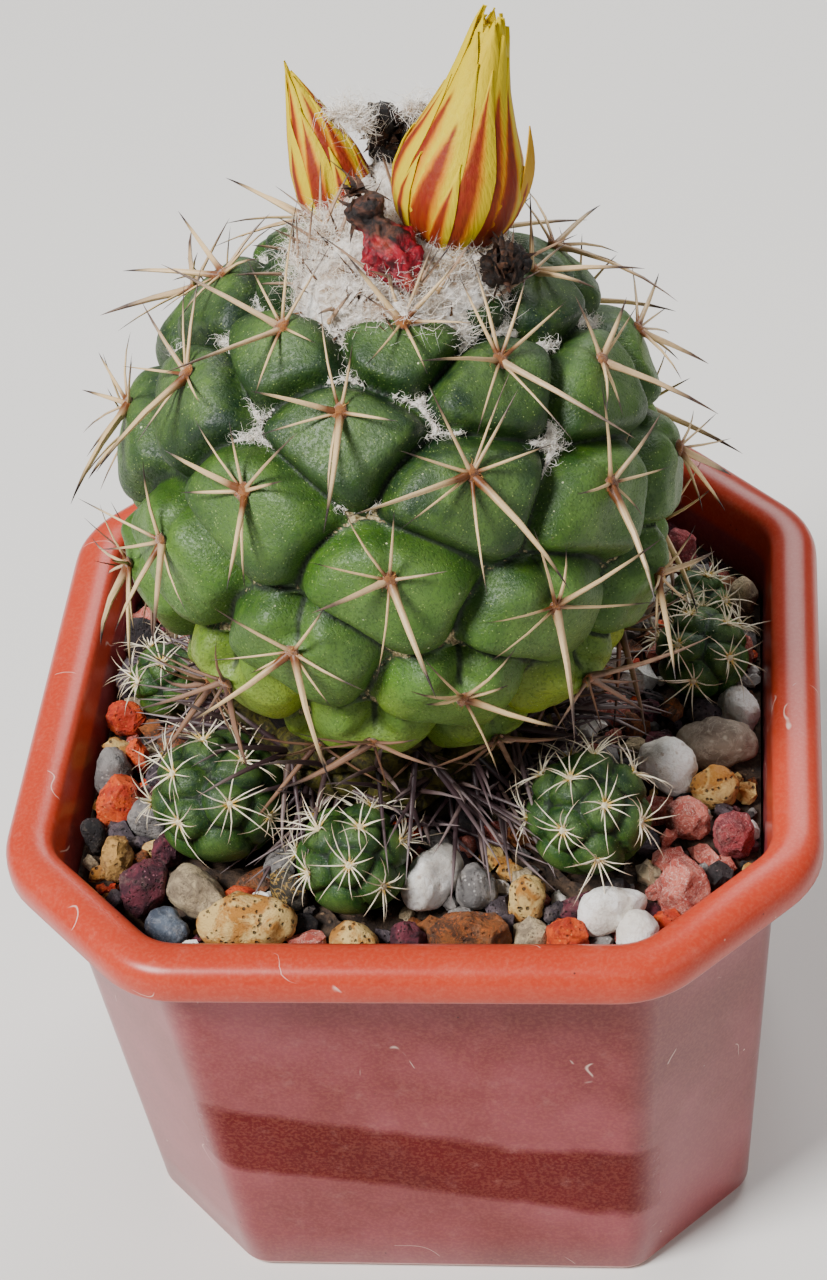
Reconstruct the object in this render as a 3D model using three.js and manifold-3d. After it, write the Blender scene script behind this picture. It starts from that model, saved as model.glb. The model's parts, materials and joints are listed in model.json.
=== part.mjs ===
// A budding Coryphantha cactus with six offsets, in a chamfered square plastic pot topped with mixed gravel.
// Millimetres, +Z up, origin on the ground under the pot's middle; the side with most offsets faces -Y.
import * as THREE from "three";
import { ConvexGeometry } from "three/addons/geometries/ConvexGeometry.js";
import { mergeVertices } from "three/addons/utils/BufferGeometryUtils.js";
import Module from "manifold-3d";

const wasm = await Module();
wasm.setup();

// Driving dimensions of the pot
const RIM_HALF = 50; // half of the lip's outside width, flat to flat
const RIM_CUT = 18.9; // how far each corner is cut back along its sides
const RIM_ROUND = 13.2; // rounding of the lip's eight corners
const POT_HEIGHT = 70.4;
const LIP_WIDTH = 6.2; // from the outside of the lip to the opening
const LIP_DROP = 5; // height of the lip's turned-down skirt
const LIP_WALL = 1.8;
const WALL = 1.4;
const BASE_HALF = 40;
const BASE_CUT = 14.5;
const BASE_ROUND = 5;
const FLOOR = 2.8; // top of the pot's floor
const FOOT_RECESS = 1.2; // how far the underside is set back inside the foot
const FOOT_WIDTH = 4.5;
const DRAIN_RADIUS = 3.2;
const DRAIN_SPREAD = 19;
const CORNER_STEPS = 2;

// Driving dimensions of the filling
const CLEAR = 0.3; // gap left between pieces that touch
const MIX_TOP = 62.7; // highest point of the potting mix, which the gravel lies on
const MIX_LUMP = 2; // depth of the hollows in its top
const MIX_BANDS = 6;
const GRIT = { count: 66, tries: 1500, least: 1.1, most: 2.2, sunk: 0.5, spread: 42 };
const GRAVEL_FOOT = MIX_TOP + CLEAR;
const WALL_ROOM = 0.6; // gravel stays this far inside the pot's opening

// Driving dimensions of the plant, a globe of tubercles in golden-angle spirals round a leaning axis
const GLOBE = new THREE.Vector3(-0.2, 0.2, 103.4);
const GLOBE_R = 33.9; // to the tubercle tips, across the axis
const GLOBE_RZ = 32.9; // to the tubercle tips, along the axis
const LEAN = new THREE.Vector3(0.079, 0.074, 1).normalize();
const TURN = -137.36; // degrees from one tubercle to the next
const TURN_START = -82.2;
const POLAR_START = 23.1; // degrees from the axis to tubercle 0
const POLAR_STEP = 2.52;
const POLAR_EASE = 0.0049; // the step shrinks towards the ground
const FIRST_TUBERCLE = -4;
const LAST_TUBERCLE = 58;
const DOME = { height: 12, across: 13.8, above: 9.4, below: 14.4 }; // a tubercle's bulge and its reach
const VALLEY = 0.52; // the lowest that a crease falls, in shares of that bulge
const CROWN_FILL = 7; // the core rises under the woolly crown
const CROWN_SPREAD = 17;
const FLANK = 0.56; // where a tubercle's flank turns, from its tip to its crease
const NECK_ROWS = [[80, 21], [74, 20], [69, 18.5], [65.5, 17], [MIX_TOP + CLEAR, 15.5]]; // height and radius
const NECK_LUMP = 1.6;
const NECK_SIDES = 20;
const STEM_RADIUS = 12;
const STEM_END = 53;

const deg = THREE.MathUtils.degToRad;
const UP = new THREE.Vector3(0, 0, 1);

// A repeatable draw between 0 and 1.
function chance(seed) {
  const s = Math.sin(seed * 12.9898) * 43758.5453;
  return s - Math.floor(s);
}

// Closed triangles as a solid, whichever way they were wound, and a solid as a geometry.
function solidOf(geometry) {
  geometry.deleteAttribute("normal");
  geometry.deleteAttribute("uv");
  const merged = mergeVertices(geometry, 1e-4);
  const vertProperties = new Float32Array(merged.attributes.position.array);
  const triVerts = new Uint32Array(merged.index.array);
  const made = new wasm.Manifold(new wasm.Mesh({ numProp: 3, vertProperties, triVerts }));
  if (made.volume() > 0) return made;
  for (let i = 0; i < triVerts.length; i += 3) {
    [triVerts[i + 1], triVerts[i + 2]] = [triVerts[i + 2], triVerts[i + 1]];
  }
  return new wasm.Manifold(new wasm.Mesh({ numProp: 3, vertProperties, triVerts }));
}

function solidFrom(vertices, triangles) {
  const geometry = new THREE.BufferGeometry();
  geometry.setAttribute("position", new THREE.Float32BufferAttribute(vertices.flat(), 3));
  geometry.setIndex(triangles.flat());
  return solidOf(geometry);
}

function geometryOf(solid) {
  const mesh = solid.getMesh();
  const geometry = new THREE.BufferGeometry();
  const position = new Float32Array(mesh.numVert * 3);
  for (let i = 0; i < mesh.numVert; i++) {
    position.set(mesh.vertProperties.subarray(i * mesh.numProp, i * mesh.numProp + 3), i * 3);
  }
  geometry.setAttribute("position", new THREE.BufferAttribute(position, 3));
  geometry.setIndex(new THREE.BufferAttribute(mesh.triVerts, 1));
  geometry.computeVertexNormals();
  return geometry;
}

// The largest connected body of a solid: loose scraps are dropped.
function mainBody(solid) {
  return solid.decompose().reduce((best, body) => (body.volume() > best.volume() ? body : best));
}

function meets(a, b) {
  const p = a.boundingBox();
  const q = b.boundingBox();
  const apart = [0, 1, 2].some((k) => p.max[k] < q.min[k] || q.max[k] < p.min[k]);
  return !apart && a.intersect(b).volume() > 1e-4;
}

// A closed skin over rows of points, each row going round, with a point at either end.
function skin(start, rows, end) {
  const around = rows[0].length;
  const vertices = [start, ...rows.flat(), end];
  const at = (row, i) => 1 + row * around + (i % around);
  const triangles = [];
  for (let i = 0; i < around; i++) {
    triangles.push([0, at(0, i), at(0, i + 1)]);
    for (let row = 0; row + 1 < rows.length; row++) {
      triangles.push([at(row, i), at(row + 1, i), at(row + 1, i + 1)]);
      triangles.push([at(row, i), at(row + 1, i + 1), at(row, i + 1)]);
    }
    triangles.push([at(rows.length - 1, i + 1), at(rows.length - 1, i), vertices.length - 1]);
  }
  return solidFrom(vertices, triangles);
}

const circle = (count, point) => Array.from({ length: count }, (_, i) => point((2 * Math.PI * i) / count, i));

function rod(x, y, low, high, radius, sides) {
  const geometry = new THREE.CylinderGeometry(radius, radius, high - low, sides);
  geometry.rotateX(Math.PI / 2).translate(x, y, (low + high) / 2);
  return solidOf(geometry);
}

// The pot's outline at one height: a square of that half width, its corners cut back and rounded.
function outline(half, cut, round, z) {
  const corners = [];
  for (const [x, y] of [[1, -1], [1, 1], [-1, 1], [-1, -1]]) {
    const alongX = [x * (half - cut), y * half];
    const alongY = [x * half, y * (half - cut)];
    corners.push(...(x * y < 0 ? [alongX, alongY] : [alongY, alongX]));
  }
  const reach = round * Math.tan(deg(22.5));
  const points = [];
  corners.forEach((corner, i) => {
    const point = new THREE.Vector2(...corner);
    const before = new THREE.Vector2(...corners[(i + 7) % 8]).sub(point).setLength(reach).add(point);
    const after = new THREE.Vector2(...corners[(i + 1) % 8]).sub(point).setLength(reach).add(point);
    const arc = new THREE.QuadraticBezierCurve(before, point, after);
    for (const p of arc.getPoints(CORNER_STEPS)) points.push([p.x, p.y, z]);
  });
  return points;
}

// An outline set in from the lip's, or from the wall's at that height, by a distance.
const CUT_PER_INSET = 2 - Math.SQRT2;
const lipOutline = (inset, z) =>
  outline(RIM_HALF - inset, RIM_CUT - CUT_PER_INSET * inset, Math.max(RIM_ROUND - inset, 2), z);

function wallOutline(inset, z) {
  const up = z / (POT_HEIGHT - LIP_DROP);
  const topHalf = RIM_HALF - LIP_WIDTH + WALL / 2;
  const topCut = RIM_CUT - CUT_PER_INSET * (RIM_HALF - topHalf);
  const half = THREE.MathUtils.lerp(BASE_HALF, topHalf, up) - inset;
  const cut = THREE.MathUtils.lerp(BASE_CUT, topCut, up) - CUT_PER_INSET * inset;
  const round = THREE.MathUtils.lerp(BASE_ROUND, RIM_ROUND - LIP_WIDTH, up);
  return outline(half, Math.max(cut, round), round, z);
}

function makePot() {
  let pot = skin(
    [0, 0, FOOT_RECESS],
    [
      wallOutline(FOOT_WIDTH + 0.6, FOOT_RECESS),
      wallOutline(FOOT_WIDTH, 0),
      wallOutline(1.2, 0),
      wallOutline(0, FOOT_RECESS),
      wallOutline(0, POT_HEIGHT - LIP_WALL),
      lipOutline(LIP_WALL, POT_HEIGHT - LIP_WALL - 0.4),
      lipOutline(LIP_WALL, POT_HEIGHT - LIP_DROP),
      lipOutline(0.5, POT_HEIGHT - LIP_DROP),
      lipOutline(0, POT_HEIGHT - 2.4),
      lipOutline(0.9, POT_HEIGHT - 0.8),
      lipOutline(2.8, POT_HEIGHT),
      lipOutline(4.8, POT_HEIGHT - 0.2),
      lipOutline(LIP_WIDTH, POT_HEIGHT - 1.2),
      wallOutline(WALL, POT_HEIGHT - 6),
      wallOutline(WALL, FLOOR),
    ],
    [0, 0, FLOOR],
  );
  for (const [x, y] of [[1, 1], [1, -1], [-1, 1], [-1, -1]]) {
    pot = pot.subtract(rod(x * DRAIN_SPREAD, y * DRAIN_SPREAD, -1, FLOOR + 1, DRAIN_RADIUS, 10));
  }
  return pot;
}

// The room above the potting mix that gravel may fill, up to the height of the lip and beyond.
function makeRoom() {
  const low = MIX_TOP - 4;
  const high = POT_HEIGHT + 10;
  const rows = [
    wallOutline(WALL + WALL_ROOM, low),
    wallOutline(WALL + WALL_ROOM, POT_HEIGHT - 6),
    lipOutline(LIP_WIDTH + WALL_ROOM, POT_HEIGHT - 1.2),
    lipOutline(LIP_WIDTH + WALL_ROOM, high),
  ];
  return skin([0, 0, low], rows, [0, 0, high]);
}

// The plant's own directions, counted from its axis and round it.
const EAST = new THREE.Vector3(0, 1, 0).cross(LEAN).normalize();
const NORTH = LEAN.clone().cross(EAST);

function towards(polar, round, axes = [EAST, NORTH, LEAN]) {
  return new THREE.Vector3()
    .addScaledVector(axes[0], Math.sin(polar) * Math.cos(round))
    .addScaledVector(axes[1], Math.sin(polar) * Math.sin(round))
    .addScaledVector(axes[2], Math.cos(polar));
}

// A tubercle: which way it points, the up and right of its own surface, and its size.
function tubercle(n, out, axis, size) {
  const up = axis.clone().addScaledVector(out, -axis.dot(out)).normalize();
  return { n, out, up, right: up.clone().cross(out), size };
}

const TUBERCLES = [];
for (let n = FIRST_TUBERCLE; n <= LAST_TUBERCLE; n++) {
  const polar = deg(POLAR_START + POLAR_STEP * n - POLAR_EASE * n * n);
  const out = towards(polar, deg(TURN_START + TURN * n));
  TUBERCLES.push(tubercle(n, out, LEAN, Math.sqrt(Math.max(Math.sin(polar), 0.12))));
}

// How high the highest tubercle stands in a direction, from 0 to 1, on a globe of that radius.
function bulge(direction, tubercles, dome, radius) {
  let best = 0;
  for (const t of tubercles) {
    if (direction.dot(t.out) < 0.4) continue;
    const u = (radius * direction.dot(t.right)) / t.size;
    const v = (radius * direction.dot(t.up)) / t.size;
    const e = (u / dome.across) ** 2 + (v / (v > 0 ? dome.above : dome.below)) ** 2;
    best = Math.max(best, Math.sqrt(Math.max(1 - e, 0)));
  }
  return best;
}

// The plant's radius in a direction from the globe's middle.
function globeRadius(direction) {
  const polar = direction.angleTo(LEAN);
  const tip = 1 / Math.hypot(Math.sin(polar) / GLOBE_R, Math.cos(polar) / GLOBE_RZ);
  const fill = CROWN_FILL * Math.exp(-((polar / deg(CROWN_SPREAD)) ** 2));
  const dome = Math.max(bulge(direction, TUBERCLES, DOME, tip), VALLEY);
  return tip - DOME.height + Math.max(fill, DOME.height * dome);
}

// The triangles, as unit directions, of the ball with corners in these directions.
function facets(directions) {
  const { array } = new ConvexGeometry(directions).attributes.position;
  const at = (i) => new THREE.Vector3().fromArray(array, i * 3);
  return Array.from({ length: array.length / 9 }, (_, f) => [at(3 * f), at(3 * f + 1), at(3 * f + 2)]);
}

const nameOf = (d) => [d.x, d.y, d.z].map((c) => Math.round(c * 1000)).join();

// The direction between these corners in which the surface lies deepest.
function deepest(corners, radiusAt) {
  const sorted = [...corners].sort((a, b) => (nameOf(a) < nameOf(b) ? -1 : 1));
  const steps = 10;
  let best = { radius: Infinity };
  for (let i = 0; i <= steps; i++) {
    for (let j = sorted.length === 3 ? 0 : steps - i; i + j <= steps; j++) {
      const shares = [i, j, steps - i - j];
      const direction = new THREE.Vector3();
      sorted.forEach((corner, k) => direction.addScaledVector(corner, shares[k]));
      direction.normalize();
      const radius = radiusAt(direction);
      if (radius < best.radius) best = { radius, direction };
    }
  }
  return best.direction;
}

// A globe of tubercles: a corner on each tip, on the creases between tips, and on the flanks between those.
function tuberculate(tips, radiusAt, flanks) {
  const places = new Map();
  const keep = (d) => places.set(nameOf(d), d);
  tips.forEach(keep);
  for (const triangle of facets(tips)) {
    const middle = deepest(triangle, radiusAt);
    const sides = triangle.map((tip, k) => deepest([tip, triangle[(k + 1) % 3]], radiusAt));
    [middle, ...sides].forEach(keep);
    triangle.forEach((tip, k) => {
      for (const share of flanks) {
        for (const low of [middle, sides[k], sides[(k + 2) % 3]]) keep(tip.clone().lerp(low, share).normalize());
      }
    });
  }
  return facets([...places.values()]);
}

// Those facets as a solid round a middle, lifted by a little where room is wanted.
function ballOf(triangles, middle, radiusAt, lift = 0) {
  const vertices = triangles.flat().map((d) => middle.clone().addScaledVector(d, radiusAt(d) + lift).toArray());
  return solidFrom(vertices, triangles.map((_, i) => [3 * i, 3 * i + 1, 3 * i + 2]));
}

const NECK_X = GLOBE.x - (LEAN.x / LEAN.z) * (GLOBE.z - MIX_TOP);
const NECK_Y = GLOBE.y - (LEAN.y / LEAN.z) * (GLOBE.z - MIX_TOP);

// The withered neck under the globe and the root stock that stands in the potting mix.
function makeNeck() {
  const rows = NECK_ROWS.map(([z, radius], row) => circle(NECK_SIDES, (angle, i) => {
    const r = radius - NECK_LUMP * chance(row * 31 + i);
    return [NECK_X + r * Math.cos(angle), NECK_Y + r * Math.sin(angle), z];
  }));
  const neck = skin([NECK_X, NECK_Y, NECK_ROWS[0][0]], rows, [NECK_X, NECK_Y, MIX_TOP + CLEAR]);
  return neck.add(rod(NECK_X, NECK_Y, STEM_END, MIX_TOP + 3, STEM_RADIUS, 16));
}

// A spine with three sides, its root sunk into what it grows from; a bent one turns at its middle.
function makeSpine({ foot, direction, out, length, radius, bend }) {
  const root = foot.clone().addScaledVector(direction, -SUNK * 0.6).addScaledVector(out, -SUNK);
  const side = direction.clone().cross(out).normalize();
  const other = direction.clone().cross(side);
  const ring = (centre, r) => circle(3, (angle) => {
    const across = side.clone().multiplyScalar(r * Math.cos(angle));
    return centre.clone().add(across).addScaledVector(other, r * Math.sin(angle)).toArray();
  });
  const rows = [ring(root, radius)];
  const tip = foot.clone().addScaledVector(direction, length);
  if (bend) {
    const middle = foot.clone().addScaledVector(direction, length * 0.5).addScaledVector(bend, 0.25);
    rows.push(ring(middle, radius * 0.72));
    tip.add(bend);
  }
  return skin(root.toArray(), rows, tip.toArray());
}

// Spine clusters as the photographed view shows them: for each tubercle, the clock angle of a spine in the
// picture, in degrees from twelve o'clock, and how long it looks, in millimetres. Stout ones come first.
const SEEN = {
  0: [[46, 9], [-40, 10], [-147, 6], [23, 11], [90, 8], [154, 6], [-21, 7]],
  3: [[-60, 16], [-115, 13], [2, 15], [-28, 9], [31, 10], [-158, 8], [120, 4]],
  5: [[120, 16], [-90, 7], [48, 11], [-28, 10], [198, 9], [137, 11], [-12, 12], [16, 10]],
  7: [[104, 15], [39, 10], [-26, 8], [-6, 10], [70, 9]],
  8: [[183, 14], [-76, 10], [-16, 12], [-104, 9], [100, 6], [13, 7], [194, 9]],
  10: [[108, 15], [25, 8], [34, 8], [-20, 7], [156, 6]],
  11: [[-132, 15], [-36, 10], [-80, 8], [3, 12], [-7, 11], [-142, 9], [158, 4]],
  13: [[134, 17], [-114, 12], [30, 10], [176, 13], [70, 9], [-130, 9], [-28, 10], [18, 11], [-75, 8]],
  15: [[111, 10], [26, 9], [48, 7], [3, 9], [75, 8]],
  16: [[188, 11], [-66, 10], [-39, 10], [-91, 7], [-13, 7], [79, 4]],
  18: [[152, 14], [42, 10], [-3, 10], [76, 8], [126, 5], [-120, 4]],
  19: [[-147, 13], [-70, 7], [-35, 10], [-15, 9], [-100, 8]],
  21: [[160, 14], [-117, 9], [-80, 9], [182, 11], [-42, 9], [83, 6], [5, 7]],
  23: [[109, 9], [137, 9], [50, 8], [36, 6], [80, 8]],
  24: [[183, 12], [-146, 12], [-64, 12], [-20, 9], [-100, 8]],
  26: [[166, 15], [62, 13], [-136, 10], [92, 11], [-110, 8], [-17, 7], [21, 6]],
  29: [[170, 15], [-130, 14], [-98, 10], [-64, 9], [149, 7], [-119, 6]],
  31: [[170, 13], [75, 9], [130, 7], [46, 8], [11, 4]],
  32: [[-142, 12], [181, 13], [-74, 8], [-35, 7], [-100, 7]],
  34: [[112, 13], [-115, 11], [150, 11], [-95, 6], [-50, 6], [82, 5]],
  37: [[173, 12], [-112, 12], [-74, 9], [-147, 8], [-31, 6]],
  39: [[79, 15], [118, 10], [160, 9], [100, 9]],
  42: [[-127, 12], [118, 8], [163, 9], [-100, 7]],
  47: [[100, 9], [150, 10], [-140, 9], [60, 6]],
};
// The view that they were read from: degrees round from the front, above the horizon, and rolled.
const VIEW_ROUND = 9.3;
const VIEW_ABOVE = 42.3;
const VIEW_ROLL = -6.9;
const RULED_CLOCKS = [180, -110, 105, -40, 35]; // on a tubercle that the view doesn't show
const STOUT = { count: 2, radius: 0.62, lift: 36, droop: 0.14, length: 14 };
const SLIM = { radius: 0.42, lift: 17, length: 10 }; // nearly straight
const SUNK = 1.1; // how deep a spine's root stands in what it grows from
const PAD_RADIUS = 1.2; // of the woolly pad that the spines spring from
const SPINES_KEPT = 5;
const LONGEST_SPINE = 19;
const LEAST_SHOWN = 0.45;

const viewBack = new THREE.Vector3(0, -Math.cos(deg(VIEW_ABOVE)), Math.sin(deg(VIEW_ABOVE)));
viewBack.applyAxisAngle(UP, deg(VIEW_ROUND));
const viewRight = UP.clone().cross(viewBack).normalize().applyAxisAngle(viewBack, deg(VIEW_ROLL));
const viewUp = viewBack.clone().cross(viewRight);

// A direction that the picture shows at a clock angle and that stands at a lift above the surface.
function seenDirection(out, clock, lift) {
  const flat = viewUp.clone().multiplyScalar(Math.cos(deg(clock)));
  flat.addScaledVector(viewRight, Math.sin(deg(clock)));
  const along = flat.dot(out);
  const facing = viewBack.dot(out);
  const share = THREE.MathUtils.clamp(Math.sin(deg(lift)) / Math.hypot(along, facing), -1, 1);
  const swings = [1, -1].map((sign) => Math.atan2(facing, along) + sign * Math.acos(share));
  const swing = Math.cos(swings[0]) > Math.cos(swings[1]) ? swings[0] : swings[1];
  const direction = flat.multiplyScalar(Math.cos(swing)).addScaledVector(viewBack, Math.sin(swing));
  return { direction, shown: Math.max(Math.cos(swing), LEAST_SHOWN) };
}

// A direction at a clock angle on the tubercle's own surface.
function ruledDirection(t, clock, lift) {
  return t.up.clone().multiplyScalar(Math.cos(deg(clock)) * Math.cos(deg(lift)))
    .addScaledVector(t.right, Math.sin(deg(clock)) * Math.cos(deg(lift)))
    .addScaledVector(t.out, Math.sin(deg(lift)));
}

// The spines of a tubercle, each springing from the rim of its small woolly pad.
function clusterOf(t) {
  const kindOf = (k) => (k < STOUT.count ? STOUT : SLIM);
  const ruled = RULED_CLOCKS.map((clock, k) => [
    clock + 24 * (chance(t.n * 7 + k) - 0.5),
    kindOf(k).length * (0.8 + 0.4 * chance(t.n * 11 + k)),
  ]);
  return (SEEN[t.n] ?? ruled).slice(0, SPINES_KEPT).map(([clock, look], k) => {
    const kind = kindOf(k);
    const lift = kind.lift + 10 * (chance(t.n * 5 + k) - 0.5);
    const seen = seenDirection(t.out, clock, lift);
    const direction = SEEN[t.n] ? seen.direction : ruledDirection(t, clock, lift);
    const length = SEEN[t.n] ? Math.min(look / seen.shown, LONGEST_SPINE) : look;
    const sideways = direction.clone().addScaledVector(t.out, -direction.dot(t.out)).normalize();
    const foot = GLOBE.clone().addScaledVector(t.out, globeRadius(t.out)).addScaledVector(sideways, PAD_RADIUS);
    const bend = kind.droop && t.out.clone().multiplyScalar(-length * kind.droop);
    return { foot, direction, out: t.out, length, radius: kind.radius, bend };
  });
}

// Raises a spine until it is clear of other pieces, or gives it up.
function clearSpine(spine, others) {
  for (const raise of [0, 0.25, 0.5, 0.75]) {
    const direction = spine.direction.clone().lerp(spine.out, raise).normalize();
    const bend = spine.bend?.clone().multiplyScalar(1 - raise);
    const room = { ...spine, direction, bend, length: spine.length + 0.6, radius: spine.radius + 0.4 };
    const wide = makeSpine(room);
    if (!others.some((other) => meets(wide, other))) return makeSpine({ ...spine, direction, bend });
  }
  return undefined;
}

function withSpines(body, spines, others) {
  const grown = spines.map((spine) => clearSpine(spine, others)).filter((spine) => spine);
  return mainBody(wasm.Manifold.union([body, ...grown]));
}

// Offsets: place, radius, how many tubercles, and a seed; each is a small globe rooted in the mix.
const PUPS = [
  { name: "offset_front_left", x: -23.5, y: -21.5, z: 71, r: 8.4, count: 16, seed: 3 },
  { name: "offset_front", x: -6.2, y: -31, z: 70, r: 6.9, count: 14, seed: 8 },
  { name: "offset_front_right", x: 21.9, y: -24.2, z: 70.6, r: 7.7, count: 15, seed: 14 },
  { name: "offset_right", x: 35.2, y: 5.2, z: 69.6, r: 6, count: 12, seed: 21 },
  { name: "offset_back_right", x: 34.4, y: 16.6, z: 67.8, r: 4.5, count: 9, seed: 27 },
  { name: "offset_left", x: -33.7, y: 2.2, z: 68.4, r: 5, count: 10, seed: 33 },
];
const PUP_CORE = 0.76; // core radius over tip radius
const PUP_DOME = { across: 2, above: 1.75, below: 2 }; // reach of a tubercle, over the root of their count
const PUP_ROOT = { depth: 2.4, share: 0.5 }; // root depth, and its radius over the offset's
const PUP_SPINE = { count: 3, lift: 22, length: 0.6, radius: 0.3, pad: 0.5 };
const WORLD = [new THREE.Vector3(1, 0, 0), new THREE.Vector3(0, 1, 0), UP];

function makePup(pup, others, grow = 0) {
  const tubercles = Array.from({ length: pup.count }, (_, n) => {
    const polar = Math.acos(1 - (1.45 * (n + 0.4)) / pup.count);
    return tubercle(n, towards(polar, deg(pup.seed * 41 + TURN * n), WORLD), UP, 1 / Math.sqrt(pup.count));
  });
  const radiusAt = (d) => pup.r * (PUP_CORE + (1 - PUP_CORE) * bulge(d, tubercles, PUP_DOME, 1));
  const middle = new THREE.Vector3(pup.x, pup.y, pup.z);
  const tips = [...tubercles.map((t) => t.out), UP.clone().negate()];
  const ball = ballOf(tuberculate(tips, radiusAt, []), middle, radiusAt, grow);
  const below = new THREE.BoxGeometry(40, 40, 40).translate(pup.x, pup.y, MIX_TOP + CLEAR - 20);
  const root = rod(pup.x, pup.y, MIX_TOP - PUP_ROOT.depth, MIX_TOP + 2, pup.r * PUP_ROOT.share, 10);
  const body = ball.subtract(solidOf(below)).add(root);
  if (!others) return body;
  const spiny = tubercles.filter((t) => t.out.z > -0.1);
  const spines = spiny.flatMap((t) => Array.from({ length: PUP_SPINE.count }, (_, k) => {
    const clock = (360 / PUP_SPINE.count) * (k + 0.8 * chance(pup.seed + t.n * 3 + k));
    const side = ruledDirection(t, clock, 0);
    return {
      foot: middle.clone().addScaledVector(t.out, radiusAt(t.out)).addScaledVector(side, PUP_SPINE.pad),
      direction: ruledDirection(t, clock, PUP_SPINE.lift),
      out: t.out,
      length: pup.r * PUP_SPINE.length,
      radius: PUP_SPINE.radius,
    };
  }));
  return withSpines(body, spines, others);
}

// Buds: foot, tip, greatest radius, seed, and how many petals go round.
const BUDS = [
  { name: "bud_large", foot: [7, 4, 133], tip: [15, 7.6, 162.6], radius: 7.2, petals: 9, seed: 5 },
  { name: "bud_small", foot: [-6.3, 13.2, 131.4], tip: [-10.7, 20.5, 149], radius: 4.9, petals: 7, seed: 9 },
];
const BUD_PROFILE = [[0, 0.42], [0.07, 0.78], [0.18, 0.97], [0.3, 1], [0.45, 0.86], [0.6, 0.65], [0.75, 0.46],
  [0.9, 0.27]]; // share of the height, share of the radius
const BUD_SIDES_PER_PETAL = 3;
const PETAL_STEP = 0.13; // how far a petal's edge stands over the next, in shares of the radius
const BUD_POINTS = 6;
const PETAL_WIND = 0.5; // radians that the edges wind round from foot to tip

// A bud of petals wrapped one over the next, their edges winding up to a ragged tip.
function makeBud(bud, grow = 0) {
  const foot = new THREE.Vector3(...bud.foot);
  const axis = new THREE.Vector3(...bud.tip).sub(foot);
  const height = axis.length();
  axis.normalize();
  const east = new THREE.Vector3(0, 1, 0).cross(axis).normalize();
  const north = axis.clone().cross(east);
  const outAt = (angle) => east.clone().multiplyScalar(Math.cos(angle)).addScaledVector(north, Math.sin(angle));
  const rows = BUD_PROFILE.map(([up, share]) => circle(bud.petals * BUD_SIDES_PER_PETAL, (angle, i) => {
    const wrap = 1 - (i % BUD_SIDES_PER_PETAL) / (BUD_SIDES_PER_PETAL - 1);
    const radius = bud.radius * (share - PETAL_STEP * wrap * Math.min(1, 6 * up) * Math.min(1, share * 2)) + grow;
    const level = foot.clone().addScaledVector(axis, up === 0 ? -grow : height * up);
    return level.addScaledVector(outAt(angle + PETAL_WIND * up), radius).toArray();
  }));
  const start = foot.clone().addScaledVector(axis, -grow - 0.1);
  const body = skin(start.toArray(), rows, foot.clone().addScaledVector(axis, height + grow).toArray());
  if (grow) return body;
  const points = circle(BUD_POINTS, (angle, i) => {
    const out = outAt(angle);
    return makeSpine({
      foot: foot.clone().addScaledVector(axis, height * 0.7).addScaledVector(out, bud.radius * 0.34),
      direction: axis.clone().addScaledVector(out, -0.08).normalize(),
      out,
      length: height * (0.2 + 0.1 * chance(bud.seed + i)),
      radius: bud.radius * 0.2,
    });
  });
  return mainBody(wasm.Manifold.union([body, ...points]));
}

// Withered flowers and a dried fruit: shrivelled beads along a line, given as place and radius.
const REMAINS = [
  { name: "dried_fruit", beads: [[4.4, -4.4, 137.4, 2.9], [2, -3, 139.8, 2.7], [0.3, -1.6, 142.2, 1.6],
    [-0.7, -0.4, 143.8, 2.2]] },
  { name: "dried_flower_right", beads: [[15.4, -1.9, 136, 2.8], [13.6, -3.4, 135.8, 2]] },
  { name: "dried_flower_back", beads: [[0.2, 19.4, 134.4, 2.5], [-0.4, 20, 137.4, 2.4], [-0.6, 20.6, 140.6, 2.7],
    [3.2, 20.8, 138.6, 2.6]] },
];
const BEAD_LUMP = 0.3;

function makeRemains(remains, index, grow = 0) {
  const beads = remains.beads.map(([x, y, z, radius], b) => {
    const geometry = new THREE.IcosahedronGeometry(1, 1);
    const position = geometry.attributes.position;
    for (let i = 0; i < position.count; i++) {
      const p = new THREE.Vector3().fromBufferAttribute(position, i);
      const draw = chance(Math.round(p.x * 90) + 7 * Math.round(p.y * 90) + 53 * Math.round(p.z * 90) + b + index);
      p.multiplyScalar(radius * (1 - BEAD_LUMP * draw) + grow);
      position.setXYZ(i, p.x + x, p.y + y, p.z + z);
    }
    return solidOf(geometry);
  });
  return mainBody(wasm.Manifold.union(beads));
}

// The wool of the crown: it fills the dip between the youngest tubercles and stands a little over them.
const WOOL_RINGS = [[7, 34], [13, 34.2], [18, 34], [22, 33], [25.5, 30.5], [28, 25]]; // polar degrees and radius
const WOOL_LUMP = 0.9;
const WOOL_SIDES = 18;
const YOUNG_SPINES = { count: 9, polar: 20, length: 7, radius: 0.34, lift: 40 };

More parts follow.
